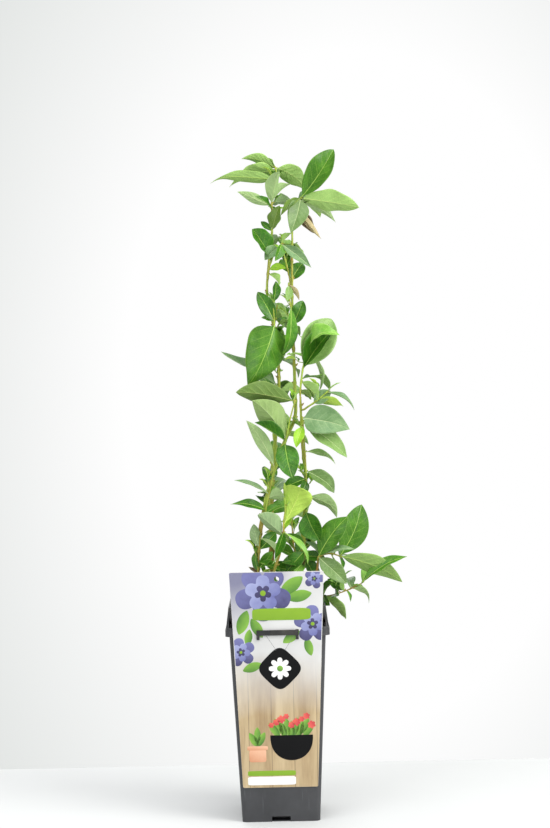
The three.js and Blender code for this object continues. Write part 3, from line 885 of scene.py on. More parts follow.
limbs = {
    "stem_tall": {
        "foot": 2.6, "tip": 0.9,
        "points": [[0, 0, 236], [-5, 6, 302], [-4, 11, 374], [2, 12, 447], [8, 9, 519],
                   [5, 5, 573], [-4, 0, 618], [-2, -2, 653], [3, 0, 693]],
    },
    "stem_left": {
        "foot": 2.4, "tip": 0.9,
        "points": [[-6, -8, 236], [-21, -12, 272], [-22, -12, 308], [-16, -12, 350], [2, -8, 417],
                   [16, -5, 451], [26, 2, 473], [27, 9, 510], [26, 11, 615], [28, 6, 705]],
    },
    "stem_right": {
        "foot": 2.3, "tip": 1,
        "points": [[13, -2, 236], [30, -2, 288], [33, -4, 338], [38, -6, 386], [34, -10, 446],
                   [33, -12, 499]],
    },
    "bough_low_right": {
        "foot": 1.9, "tip": 1.1,
        "points": [[20, -14, 236], [40, -18, 272], [48, -20, 290], [50, -20, 304]],
    },
    "bough_far_right": {
        "foot": 1.9, "tip": 1.2,
        "points": [[24, 3, 236], [40, -3, 252], [54, -7, 258]],
    },
    "bough_front": {
        "foot": 1.8, "tip": 1,
        "points": [[2, -17, 236], [-5, -26, 280], [5, -31, 315], [9, -32, 335]],
    },
}
footFlare = {"factor": 0.55, "reach": 9}
twig = {"foot": 1, "tip": 0.6, "start": 3, "sink": 2.5}     # radii, then lengths at its ends
blade = {"foldLow": 0.15, "foldRange": 0.25, "twistRange": 30}
fillRule = {
    "deal": 0.618, "widthShare": 0.42, "riseRange": 84, "rollRange": 90,
    "lengthLow": 0.72, "lengthRange": 0.5, "archLow": 0.04, "archRange": 0.1,
    "tones": ["deep", "mid", "deep", "mid", "fresh", "blue"],
}

leafKeys = ("at", "heading", "rise", "length", "width", "roll", "arch", "tone", "habit")

# Each mass has its limb, the level where it leaves it (none at a tip), the points of its twig, and
# its leaves as rows of the keys above, plain where no habit is given. The fill is its count, first
# share, spread, rise and length. The extra leaves are this dressing's own.
shoots = {
    "foliage_top_left": {
        "limb": "stem_tall", "seed": 11,
        "points": [[4, 2, 717], [4, 2, 735], [10, 2, 764], [9, 3, 776]],
        "leaves": [
            (0.06, 335, 72, 32, 20, 78, 0.04, "olive"),
            (0.05, 146, 40, 22, 9, 60, 0.04, "deep", "slim"),
            (0.36, 232, 28, 33, 13, 60, 0.05, "deep", "slim"),
            (0.42, 190, 24, 47, 13, -65, 0.04, "pale", "slim"),
            (0.44, 290, 55, 47, 24, 5, 0.05, "pale", "folded"),
            (0.48, 20, 45, 33, 20, -20, 0.05, "pale", "folded"),
            (0.8, 186, 2, 82, 17, -60, 0.05, "mid", "drawn"),
            (0.94, 167, -13, 62, 27, -52, 0.07, "fresh", "drawn"),
            (0.97, 12, -32, 46, 26, -58, 0.17, "fresh", "hooked"),
            (1, 170, 20, 44, 17, -50, 0.16, "fresh", "slim"),
        ],
        "extra": [(0.98, 128, 38, 21, 13, -45, 0.05, "fresh", "broad")],
        "fill": (4, 0.45, 46, -8, 46),
    },
    "foliage_top_right": {
        "limb": "stem_left", "seed": 12,
        "points": [[33, 4, 726], [40, 2, 739]],
        "leaves": [
            (1, 353, 55, 71, 35, 80, 0.06, "rich", "full"),
            (0.95, 8, -8, 73, 30, -55, 0.06, "fresh"),
            (0.85, 40, -20, 62, 18, -40, 0.06, "pale", "slim"),
            (0.9, 233, -64, 47, 27, 46, 0.04, "sage", "shouldered"),
            (0.97, 214, -35, 37, 16, 40, 0.04, "olive", "folded"),
            (0.6, 12, -52, 40, 21, 62, -0.12, "dry", "folded"),
        ],
        "extra": [(0.62, 12, -51, 50, 9, -55, -0.1, "dry", "slim")],
        "fill": (3, 0.3, 50, 12, 48),
    },
    "foliage_upper_left": {
        "limb": "stem_tall", "level": 640, "seed": 13,
        "points": [[-1, -9, 652], [7, -9, 672], [16, -9, 683]],
        "leaves": [
            (0.2, 317, -37, 24, 14, -60, 0.05, "fresh", "folded"),
            (0.85, 211, -38, 25, 18, 60, 0.05, "blue", "folded"),
            (0.95, 340, -38, 48, 16, 66, 0.08, "blue", "slim"),
            (0.48, 209, 53, 49, 29, 72, 0.05, "deep", "cupped"),
        ],
        "extra": [
            (0.95, 246, -50, 28, 15, 60, 0.05, "mid", "folded"),
            (0.3, 350, 4, 21, 13, 60, 0.05, "lime", "folded"),
        ],
    },
    "foliage_back_upper": {
        "limb": "stem_left", "level": 628, "seed": 14,
        "points": [[24, 17, 640], [18, 22, 668], [14, 20, 694]],
        "fill": (7, 0.2, 42, 14, 46),
    },
    "foliage_centre_upper": {
        "limb": "stem_left", "level": 584, "seed": 15,
        "points": [[25, 1, 598], [23, -2, 614], [22, -2, 636]],
        "leaves": [
            (0.08, 5, 66, 33, 20, 80, 0.04, "deep", "broad"),
            (0.5, 245, -78, 64, 17, 50, 0.05, "mid", "hooked"),
            (0.93, 254, -62, 22, 11, 35, 0.04, "pale"),
            (1, 347, -56, 24, 8, -60, 0.04, "dry", "slim"),
        ],
    },
    "foliage_middle_left": {
        "limb": "stem_tall", "level": 500, "seed": 16,
        "points": [[8, -1, 516], [6, -4, 549], [4, -7, 586], [3, -9, 614]],
        "leaves": [
            (0.13, 167, 26, 86, 20, 25, 0.09, "blue", "lifted"),
            (0.76, 209, -64, 83, 56, 70, 0.06, "rich", "hooded"),
            (0.78, 170, 62, 43, 20, 78, 0.04, "deep", "broad"),
            (0.8, 180, 15, 16, 8, 60, 0.04, "mid"),
            (0.98, 44, 77, 27, 13, 80, 0.04, "deep"),
        ],
    },
    "foliage_back_middle": {
        "limb": "stem_tall", "level": 536, "seed": 17,
        "points": [[8, 16, 552], [4, 22, 580], [8, 22, 612]],
        "fill": (8, 0.15, 52, 4, 54),
    },
    "foliage_right_tip": {
        "limb": "stem_right", "seed": 18,
        "points": [[36, -13, 527], [40, -14, 545], [47, -15, 565]],
        "leaves": [
            (0.1, 328, -36, 20, 11, -65, 0.04, "olive"),
            (0.26, 330, -46, 34, 22, -60, 0.06, "fresh", "broad"),
            (0.46, 11, 52, 63, 42, 62, 0.06, "deep", "folded"),
            (0.68, 208, 16, 22, 7, 0, 0.04, "fresh", "slim"),
            (0.8, 52, -60, 56, 12, 20, 0.1, "pale", "folded"),
            (0.88, 340, 26, 42, 27, 52, 0.2, "fresh", "hooked"),
        ],
        "extra": [(0.5, 21, 57, 72, 46, 74, 0.04, "pale", "broad")],
        "fill": (3, 0.3, 45, 20, 50),
    },
    "foliage_right_cluster": {
        "limb": "stem_right", "level": 482, "seed": 19,
        "points": [[42, -18, 486], [50, -22, 491], [66, -27, 504]],
        "leaves": [
            (0.45, 350, 34, 26, 17, 72, 0.05, "blue", "broad"),
            (0.55, 335, -8, 37, 15, -50, 0.08, "lime", "slim"),
            (0.97, 16, -29, 42, 13, 30, 0.08, "blue", "slim"),
            (1, 340, 35, 21, 6, 10, 0.05, "fresh", "slim"),
        ],
    },
    "foliage_centre_left": {
        "limb": "stem_left", "level": 424, "seed": 20,
        "points": [[8, -14, 430], [15, -18, 447], [20, -20, 471], [27, -20, 495]],
        "leaves": [
            (0.32, 285, -52, 50, 29, 12, 0.06, "deep", "broad"),
            (0.4, 200, 49, 65, 37, -62, 0.06, "sage"),
            (0.98, 195, 11, 76, 31, -62, 0.08, "olive"),
        ],
        "extra": [(0.36, 188, 34, 44, 24, 56, 0.05, "deep", "folded")],
    },
    "foliage_back_centre": {
        "limb": "stem_tall", "level": 446, "seed": 21,
        "points": [[0, 20, 458], [-2, 25, 486], [4, 24, 516]],
        "fill": (8, 0.15, 54, 6, 54),
    },
    "foliage_right_middle": {
        "limb": "stem_right", "level": 366, "seed": 22,
        "points": [[38, -14, 377], [38, -16, 405], [37, -19, 434], [35, -20, 475]],
        "leaves": [
            (0.16, 3, -28, 46, 20, -50, 0.1, "pale", "hooked"),
            (0.33, 237, -49, 20, 14, 70, 0.04, "deep"),
            (0.43, 3, -35, 47, 22, 62, 0.06, "sage", "hooked"),
            (0.63, 12, -19, 42, 13, 35, 0.12, "pale", "slim"),
            (0.93, 358, -38, 68, 26, 62, 0.06, "pale"),
            (0.9, 234, -58, 30, 15, 32, 0.04, "lime"),
            (1, 348, -13, 59, 38, 70, 0.07, "blue", "shouldered"),
        ],
        "extra": [(0.35, 196, -20, 32, 17, 62, 0.05, "deep")],
    },
    "foliage_left_low": {
        "limb": "stem_left", "level": 350, "seed": 23,
        "points": [[-12, -19, 360], [-6, -19, 385], [1, -17, 418]],
        "leaves": [
            (0.26, 187, 13, 44, 15, 45, 0.05, "deep", "drawn"),
            (0.2, 343, 28, 24, 11, 60, 0.04, "mid"),
            (0.46, 320, 8, 26, 18, -65, 0.04, "pale", "broad"),
            (0.52, 191, 25, 46, 9, 40, 0.03, "blue", "slim"),
            (1, 193, 60, 66, 17, -68, 0.05, "pale"),
        ],
    },
    "foliage_front_lime": {
        "limb": "bough_front", "seed": 24,
        "points": [[10, -33, 349], [13, -31, 370]],
        "leaves": [
            (0.1, 350, -46, 50, 11, 25, 0.04, "fresh", "hooked"),
            (0.01, 192, 41, 40, 27, -52, 0.05, "blue", "folded"),
            (0.14, 29, 50, 20, 8, 20, 0.04, "lime", "slim"),
            (0.34, 339, 63, 53, 36, -74, 0.08, "lime", "spooned"),
            (0.95, 262, 82, 31, 7, 20, 0.04, "lime", "slim"),
            (1, 21, 78, 29, 7, 20, 0.04, "lime", "slim"),
        ],
        "extra": [(0.12, 236, -58, 36, 18, 48, 0.05, "deep", "folded")],
    },
    "foliage_back_low": {
        "limb": "stem_tall", "level": 352, "seed": 25,
        "points": [[-8, 18, 364], [-8, 25, 392], [0, 26, 420]],
        "fill": (8, 0.15, 50, 6, 52),
    },
    "foliage_right_low": {
        "limb": "stem_right", "level": 300, "seed": 26,
        "points": [[34, -11, 312], [35, -13, 339], [37, -14, 364]],
        "leaves": [
            (0.15, 30, -61, 34, 20, 80, 0.04, "deep"),
            (0.28, 200, -45, 35, 19, 60, 0.05, "deep"),
            (0.45, 0, -46, 34, 14, 30, 0.08, "blue", "hooked"),
            (0.97, 320, -60, 41, 32, 72, 0.08, "deep", "folded"),
        ],
        "extra": [
            (0.08, 212, 4, 30, 16, 60, 0.05, "deep"),
            (0.34, 196, 38, 30, 15, 58, 0.05, "mid", "folded"),
            (0.2, 350, -6, 26, 15, 62, 0.05, "deep", "broad"),
            (0.02, 240, -30, 26, 14, 50, 0.05, "fresh"),
        ],
    },
    "foliage_left_foot": {
        "limb": "stem_left", "level": 256, "seed": 27,
        "points": [[-22, -20, 264], [-21, -21, 298], [-18, -20, 336]],
        "leaves": [
            (0.45, 180, 43, 15, 6, 40, 0.04, "dry", "slim"),
            (0.5, 112, 70, 26, 12, 70, 0.04, "deep"),
            (0.53, 20, 47, 28, 15, 60, 0.05, "mid", "folded"),
            (0.82, 212, 75, 30, 15, -70, 0.04, "blue"),
            (0.95, 312, -38, 45, 14, -60, 0.1, "pale", "hooked"),
        ],
        "extra": [
            (0.12, 18, 34, 30, 16, 58, 0.05, "deep"),
            (0.3, 4, 12, 26, 15, 64, 0.05, "deep", "broad"),
            (0.62, 356, -20, 28, 15, 55, 0.05, "mid", "folded"),
            (0.78, 38, 38, 34, 17, 58, 0.05, "deep"),
        ],
    },
    "foliage_back_foot": {
        "limb": "stem_right", "level": 278, "seed": 28,
        "points": [[28, 8, 292], [22, 18, 316], [20, 24, 350]],
        "fill": (8, 0.2, 62, 14, 50),
        "extra": [
            (0.15, 200, 16, 42, 19, 58, 0.05, "deep"),
            (0.42, 200, 26, 36, 18, 60, 0.05, "mid", "folded"),
            (0.1, 238, -20, 26, 15, 55, 0.05, "olive", "broad"),
        ],
    },
    "foliage_low_right": {
        "limb": "bough_low_right", "seed": 29,
        "points": [[64, -21, 311], [78, -20, 307]],
        "leaves": [
            (0.08, 347, 54, 62, 29, 78, 0.04, "rich"),
            (0.1, 338, -41, 47, 23, 62, 0.1, "sage", "broad"),
            (0.2, 335, 14, 45, 13, 30, 0.05, "blue", "slim"),
            (0.6, 20, -78, 40, 10, 20, 0.04, "fresh", "slim"),
            (0.97, 12, 65, 68, 33, 78, 0.04, "rich", "full"),
            (0.96, 50, -72, 20, 13, 70, 0.04, "deep"),
            (1, 7, -22, 83, 27, -58, 0.03, "mid"),
        ],
        "fill": (3, 0.3, 45, 25, 46),
    },
    "foliage_far_right": {
        "limb": "bough_far_right", "seed": 30, "girth": 0.66,
        "points": [[61, -8.5, 259.5], [71, -10, 261.5], [89, -10, 268], [104, -10, 275]],
        "leaves": [
            (0.08, 325, -38, 41, 23, -58, 0.01, "fresh"),
            (0.3, 280, 5, 20, 14, 60, 0.05, "deep", "broad"),
            (0.52, 271, 72, 20, 13, 60, 0.04, "deep", "broad"),
            (0.55, 159, 32, 27, 13, 60, 0.05, "deep"),
            (0.58, 40, -64, 16, 9, 60, 0.04, "mid"),
            (0.7, 345, -32, 29, 14, -40, 0.14, "pale", "hooked"),
            (1, 346, 32, 65, 19, 50, 0.05, "mid", "slim"),
        ],
        "extra": [
            (0.06, 285, -24, 22, 14, 62, 0.05, "deep", "broad"),
            (0.03, 305, 46, 26, 17, 62, 0.05, "deep", "broad"),
        ],
        "fill": (3, 0.35, 45, 18, 40),
    },
}


def unit(vector):
    return vector / np.linalg.norm(vector)


def heading(degrees, rise):
    turn, lift = math.radians(degrees), math.radians(rise)
    return np.array([math.cos(turn) * math.cos(lift), math.sin(turn) * math.cos(lift), math.sin(lift)])


class Curve:
    # centripetal curve through the points, read by share of its length

    def __init__(self, points, steps=24):
        knots = np.array(points, float)
        knots = np.vstack([2 * knots[0] - knots[1], knots, 2 * knots[-1] - knots[-2]])
        line = []
        for i in range(len(knots) - 3):
            x0, x1, x2, x3 = knots[i:i + 4]
            spans = ((x0, x1), (x1, x2), (x2, x3))
            d0, d1, d2 = (max(np.linalg.norm(b - a) ** 0.5, 1e-4) for a, b in spans)
            t1 = ((x1 - x0) / d0 - (x2 - x0) / (d0 + d1) + (x2 - x1) / d1) * d1
            t2 = ((x2 - x1) / d1 - (x3 - x1) / (d1 + d2) + (x3 - x2) / d2) * d1
            for t in np.arange(steps) / steps:
                line.append(x1 + t1 * t + (-3 * x1 + 3 * x2 - 2 * t1 - t2) * t * t
                            + (2 * x1 - 2 * x2 + t1 + t2) * t ** 3)
        line.append(knots[-2])
        self.line = np.array(line)
        walked = np.linalg.norm(np.diff(self.line, axis=0), axis=1).cumsum()
        self.length = walked[-1]
        self.share = np.concatenate([[0], walked]) / self.length

    def at(self, share):
        return np.stack([np.interp(share, self.share, self.line[:, i]) for i in range(3)], axis=-1)

    def direction(self, share):
        ahead, behind = self.at(np.minimum(share + 0.004, 1)), self.at(np.maximum(share - 0.004, 0))
        return (ahead - behind) / np.linalg.norm(ahead - behind, axis=-1, keepdims=True)


def limbRadius(limb, length, share):
    flare = limb["foot"] * footFlare["factor"] * np.exp(-share * length / footFlare["reach"])
    return limb["foot"] + (limb["tip"] - limb["foot"]) * share + flare


def twigCurve(shoot, sunk=0):
    # the twig grows on from the limb's tip, or out of its side at a level; sunk roots it deeper
    limb = limbs[shoot["limb"]]
    curve = Curve(limb["points"])
    if "level" in shoot:
        shares = np.arange(0, 1, 0.002)
        share = shares[np.argmax(curve.at(shares)[:, 2] >= shoot["level"])]
        start, along = curve.at(share), curve.direction(share)
        away = np.array(shoot["points"][0], float) - start
        away = unit(away - along * away.dot(along))
        reach = limbRadius(limb, curve.length, share)
    else:
        start, away, reach = curve.at(1), curve.direction(1), 0
    return Curve([start - away * sunk, start + away * (reach + twig["start"]), *shoot["points"]])


def leavesOf(shoot):
    random = seeded(shoot["seed"])
    rule = fillRule
    leaves = [dict(zip(leafKeys, row)) for row in shoot.get("leaves", [])]
    count, first, spread, lift, size = shoot.get("fill", (0, 0, 0, 0, 0))
    for i in range(count):
        deal = (i * rule["deal"]) % 1
        rise = lift + (random() - 0.5) * rule["riseRange"]
        length = size * (rule["lengthLow"] + random() * rule["lengthRange"])
        roll = (random() - 0.5) * rule["rollRange"]
        leaves.append({
            "at": first + (1 - first) * i / (count - 1),
            "heading": 90 + (deal * 2 - 1) * spread,
            "rise": rise, "length": length, "width": size * rule["widthShare"],
            "roll": roll, "arch": rule["archLow"] + random() * rule["archRange"],
            "tone": rule["tones"][(i * 5 + shoot["seed"]) % len(rule["tones"])],
        })
    leaves += [dict(zip(leafKeys, row)) for row in shoot.get("extra", [])]
    for leaf in leaves:
        leaf["fold"] = blade["foldLow"] + random() * blade["foldRange"]
        leaf["twist"] = (random() - 0.5) * blade["twistRange"]
    return leaves


# bark, stems and boughs

barkLook = {
    "green": (screen(142, 172, 48), screen(182, 202, 84)),
    "brown": (screen(128, 96, 56), screen(176, 112, 60)),
    "brownRise": (0.24, 0.38),     # from brown at the foot to green, in metres
    "dots": 520.0,
    "grey": screen(112, 98, 80),
    "bud": (screen(150, 74, 48), screen(168, 178, 78)),
}
limbShape = {
    "sides": 18,
    "stout": 1.24,        # bark over the source's core
    "ring": 1.5,          # spacing of the rings
    "nodeEvery": 21,      # distance between buds along a stem
    "nodeSwell": 0.34,
    "nodeReach": 2.2,
    "ridge": 0.07,
    "ridges": 5,
    "lump": 0.1,
    "budTurn": 137.5,
    "budSize": (2.0, 0.5),     # least, and the step of its three sizes
}
budShape = {
    "lean": (0.75, 0.65),      # along the stem and out of it
    "halves": (0.5, 0.36, 0.85),
    "taper": 0.45,
    "out": 0.6,
}


def barkFinish(name):
    # young green bark that turns brown towards the foot, streaked and dotted
    skin, look = Finish(name, 0.5, 0.4), barkLook
    streak = skin.cloud(420, 0.36, 0.64, 4, (1, 1, 0.12))
    patch = skin.cloud(46, 0.42, 0.62, 3, (1, 1, 0.5))
    low = skin.ranged(skin.axes(skin.place)[2], *look["brownRise"], (0.9, 0))
    woody = skin.add("Clamp", {0: skin.plus(skin.times(patch, 0.5), low)}).outputs[0]
    green, brown = skin.mix(streak, *look["green"]), skin.mix(streak, *look["brown"])
    base = skin.mix(skin.times(woody, 0.85), green, brown)
    dots = skin.add("TexVoronoi", {"Vector": skin.place, "Scale": look["dots"]}).outputs[0]
    skin.drive("Base Color", skin.mix(skin.ranged(dots, 0.16, 0.08, (0, 0.5)), base, look["grey"]))
    skin.bump(streak, 0.35, 0.0004)
    return skin.material


def budFinish(name):
    skin = Finish(name, 0.42, 0.4)
    tone = skin.cloud(300, 0.35, 0.65, 2)
    skin.drive("Base Color", skin.mix(tone, *barkLook["bud"]))
    skin.bump(tone, 0.2, 0.0003)
    return skin.material


def frameAlong(directions):
    # sideways axes carried along the curve with no twist
    axes = []
    side = unit(np.cross(directions[0], [0.3, 1, 0.2]))
    for direction in directions:
        side = unit(side - direction * side.dot(direction))
        axes.append((side, np.cross(direction, side)))
    return np.array([a for a, _ in axes]), np.array([b for _, b in axes])


def shadeSoft(thing):
    thing.data.polygons.foreach_set("use_smooth", [True] * len(thing.data.polygons))


def tubeAlong(curve, radiusAt, sides, rings, reliefAt=None):
    # a sphere whose rings are laid along the curve; its poles close the ends
    startFresh()
    bpy.ops.mesh.primitive_uv_sphere_add(segments=sides, ring_count=rings, radius=1)
    tube = bpy.context.object
    place = np.array([vertex.co[:] for vertex in tube.data.vertices])
    share = 1 - np.arccos(np.clip(place[:, 2], -1, 1)) / math.pi
    angle = np.arctan2(place[:, 1], place[:, 0])
    levels, back = np.unique(np.round(share * rings).astype(int), return_inverse=True)
    across, up = frameAlong(curve.direction(levels / rings))
    end = np.minimum(share, 1 - share) * curve.length
    radius = radiusAt(share)
    capped = np.clip(end / np.maximum(radius, 1e-6), 0, 1)
    radius = radius * np.sqrt(np.clip(1 - (1 - capped) ** 2, 0, 1))
    if reliefAt is not None:
        radius = radius * (1 + reliefAt(share, angle))
    out = across[back] * np.cos(angle)[:, None] + up[back] * np.sin(angle)[:, None]
    spot = curve.at(share) + out * radius[:, None]
    tube.data.vertices.foreach_set("co", (spot * mm).ravel())
    shadeSoft(tube)
    tube.data.update()
    return tube


def budAt(point, along, out, size):
    # a small pointed bud that leans out of the bark
    startFresh()
    bpy.ops.mesh.primitive_uv_sphere_add(segments=8, ring_count=6, radius=1)
    bud = bpy.context.object
    leanAlong, leanOut = budShape["lean"]
    wide, deep, tall = budShape["halves"]
    axis = Vector(along * leanAlong + out * leanOut).normalized()
    turn = axis.to_track_quat("Z", "Y").to_matrix().to_4x4()
    for vertex in bud.data.vertices:
        x, y, z = vertex.co
        taper = 1 - budShape["taper"] * max(0, z)
        vertex.co = (x * size * wide * taper, y * size * deep * taper, z * size * tall)
    middle = Vector(point) + axis * size * budShape["out"]
    bud.data.transform(Matrix.Translation(middle) @ turn)
    bud.data.transform(Matrix.Scale(mm, 4))
    shadeSoft(bud)
    return bud


def buildLimb(name, limb, number, bark, budSkin):
    shape = limbShape
    curve = Curve(limb["points"])
    nodes = np.arange(14 + 5 * (number % 3), curve.length - 5, shape["nodeEvery"]) / curve.length

    def radiusAt(share):
        return limbRadius(limb, curve.length, share) * shape["stout"]

    def reliefAt(share, angle):
        away = np.abs(share[:, None] - nodes[None, :]).min(axis=1) * curve.length
        swell = shape["nodeSwell"] * np.exp(-(away / shape["nodeReach"]) ** 2)
        ridge = shape["ridge"] * np.sin(shape["ridges"] * angle + share * curve.length * 0.04)
        spot = np.stack([np.cos(angle) * 2, np.sin(angle) * 2, share * curve.length * 0.16], axis=1)
        lump = np.array([noise.noise(Vector(p) + Vector((number * 7, 0, 0))) for p in spot])
        return swell + ridge + shape["lump"] * lump

    rings = int(curve.length / shape["ring"])
    tube = tubeAlong(curve, radiusAt, shape["sides"], rings, reliefAt)
    wear(tube, name + "_bark", bark, name)
    buds = []
    least, step = shape["budSize"]
    for i, share in enumerate(nodes):
        along = curve.direction(share)
        turn = i * math.radians(shape["budTurn"]) + number
        side = unit(np.cross(along, [math.sin(turn), math.cos(turn), 0.1]))
        root = curve.at(share) + side * radiusAt(share) * 0.95
        buds.append(budAt(root, along, side, least + step * (i % 3)))
    wear(joinAll(buds), name + "_buds", budSkin, name)


budSkin = budFinish("budScale")
youngBark = barkFinish("youngBark")
for number, (name, limb) in enumerate(limbs.items()):
    buildLimb(name, limb, number, youngBark, budSkin)
print("stems and boughs done")


# leaves

leafShape = {
    "stalkShare": 0.05,
    "stalkHalf": 0.6,
    "stalkThick": 0.9,
    "stalkFade": (0.2, 0.06),    # shares over which its width and thickness fade into the blade
    "fullStalk": 30,             # a leaf shorter than this has a thinner stalk
    "leastHalf": 0.08,
    "thick": 0.34,
    "ribHalf": (0.5, 0.14),      # at the foot and at the tip
    "fullRib": 40,               # a leaf shorter than this has a thinner rib
    "ribMost": 0.85,             # share of the half width
    "ribHeight": 0.4,
    "ribGroove": 0.2,            # how deep the rib lies in the upper side
    "veins": 6.5,
    "veinSweep": 0.26,
    "veinDepth": 0.045,          # share of the half width
    "cup": 1.3,                  # how the fold is rounded across the blade
    "foldMost": 1.1,
    "twistFrom": 0.35,
    "bow": 0.07,                 # how far the midrib may bow to one side, share of the length
}
leafGrids = {
    # rows along the leaf, and the steps from the rib's edge to the margin
    "fine": (30, (0, 0.2, 0.42, 0.64, 0.85, 1)),
    "young": (9, (0, 0.55, 1)),
}
leafHabits = {
    # fold of the halves, droop of the tip, waves of the margin, added twist, fullness at foot, at tip
    "plain": (1.4, 0.06, 0.1, 0, 0.85, 0.98),
    "broad": (1.2, 0.05, 0.09, 0, 0.74, 0.78),
    "slim": (1.5, 0.07, 0.08, 12, 1.0, 1.2),
    "drawn": (1.5, 0.1, 0.16, 45, 0.72, 1.5),
    "folded": (2.4, 0.06, 0.07, 0, 0.9, 0.95),
    "cupped": (2.8, -0.12, 0.08, 20, 0.82, 0.75),
    "hooded": (-2.4, 0.14, 0.16, 28, 0.34, 1.0),
    "shouldered": (1.5, 0.06, 0.09, 0, 0.55, 0.95),
    "hooked": (1.6, 0.2, 0.1, 12, 0.88, 1.0),
    "lifted": (1.6, -0.14, 0.1, 35, 0.9, 1.3),
    "spooned": (1.3, 0.12, 0.12, 15, 1.25, 0.5),
    "full": (1.3, 0.05, 0.08, 0, 0.8, 0.78),
}
leafBows = {"full": -0.035, "lifted": 0.05, "cupped": -0.07}     # bow to one side, by habit
toneColours = {
    # upper side, its darker patches, under side, rib, as screen colours
    "deep": ((60, 128, 18), (32, 88, 8), (122, 162, 80), (164, 202, 84)),
    "rich": ((80, 138, 26), (50, 106, 12), (134, 172, 88), (172, 208, 92)),
    "mid": ((94, 158, 38), (58, 122, 22), (142, 180, 96), (184, 214, 104)),
    "fresh": ((136, 190, 74), (104, 166, 50), (158, 198, 108), (202, 226, 130)),
    "lime": ((160, 208, 52), (132, 188, 30), (182, 218, 88), (212, 232, 112)),
    "olive": ((108, 142, 48), (80, 114, 32), (100, 132, 58), (170, 190, 104)),
    "blue": ((130, 163, 111), (97, 137, 84), (150, 180, 126), (190, 212, 154)),
    "sage": ((118, 150, 84), (92, 126, 62), (150, 180, 106), (184, 206, 144)),
    "pale": ((150, 186, 108), (122, 164, 82), (166, 198, 130), (206, 226, 160)),
    "dry": ((92, 74, 34), (54, 40, 18), (206, 190, 140), (214, 200, 150)),
}
leafGloss = {"upper": 0.36, "under": 0.6, "rib": 0.45}
leafVeins = {"upper": (0.3, -0.35), "under": (0.42, 0.35)}      # how pale, and how raised
# the finest veins are sunk, and also painted darker: a painted shade in their sunk lines
leafNet = {"cells": 340.0, "line": 0.14, "shade": 0.42, "sunk": 0.3}     # the finest veins


def veinGroup():
    # side veins that leave the midrib and sweep forward, from the leaf's own map
    group = bpy.data.node_groups.new("sideVeins", "ShaderNodeTree")
    for name in ("vein", "quilt", "edge"):
        group.interface.new_socket(name, in_out="OUTPUT", socket_type="NodeSocketFloat")
    leaf = Nodes(group)
    along, across, _ = leaf.axes(leaf.add("UVMap", uv_map="leafMap").outputs[0])
    out = leaf.calc("ABSOLUTE", leaf.minus(leaf.times(across, 2.0), 1.0))
    swept = leaf.minus(along, leaf.times(out, leafShape["veinSweep"]))
    step = leaf.calc("FRACT", leaf.times(swept, leafShape["veins"]))
    off = leaf.offMiddle(step)      # 0.5 on a vein
    fade = leaf.ranged(out, 0.4, 0.98, (1, 0))
    results = {
        "vein": leaf.times(leaf.ranged(off, 0.44, 0.5), fade),
        "quilt": leaf.times(leaf.calc("POWER", leaf.times(off, 2.0), 2.0), fade),
        "edge": leaf.ranged(out, 0.93, 1.0),
    }
    end = group.nodes.new("NodeGroupOutput")
    for name, socket in results.items():
        group.links.new(socket, end.inputs[name])
    return group


veins = veinGroup()


def bladeFinish(tone, side, colour, darker, rib):
    gloss = leafGloss[side]
    veinShare, depth = leafVeins[side]
    skin = Finish(tone + side.title(), gloss, 0.34)
    pattern = skin.add("Group", node_tree=veins).outputs
    mottle = skin.cloud(70, 0.36, 0.66)
    base = skin.mix(mottle, darker, colour)
    base = skin.mix(skin.cloud(900, 0.4, 0.7, 2, out=(0, 0.16)), base, rib)      # pores
    # painted shade: the net of finest veins is darkened towards the darker tone, as well as sunk by the
    # bump
    cells = {"Vector": skin.place, "Scale": leafNet["cells"]}
    gap = skin.add("TexVoronoi", cells, feature="DISTANCE_TO_EDGE").outputs[0]
    net = skin.ranged(gap, 0, leafNet["line"], (1, 0))
    base = skin.mix(skin.times(net, leafNet["shade"]), base, darker)
    base = skin.mix(skin.times(pattern["vein"], veinShare), base, rib)
    base = skin.mix(skin.times(pattern["edge"], 0.3), base, rib)
    skin.drive("Base Color", base)
    skin.drive("Roughness", skin.ranged(mottle, 0, 1, (gloss - 0.05, gloss + 0.08)))
    skin.bump(skin.plus(pattern["quilt"], skin.times(net, leafNet["sunk"])), depth, 0.0012)
    return skin.material


def ribFinish(tone, colour):
    skin = Finish(tone + "Rib", leafGloss["rib"], 0.4)
    cloud = skin.cloud(200, 0.35, 0.65, 2)
    skin.drive("Base Color", skin.mix(cloud, dimmed(colour, 0.8), colour))
    skin.bump(cloud, 0.1, 0.0002)
    return skin.material


leafSkins = {}
for tone, colours in toneColours.items():
    upper, shade, under, rib = (screen(*colour) for colour in colours)
    leafSkins[tone] = [
        bladeFinish(tone, "upper", upper, shade, rib),
        bladeFinish(tone, "under", under, dimmed(under, 0.84), rib),
        ribFinish(tone, rib),
    ]


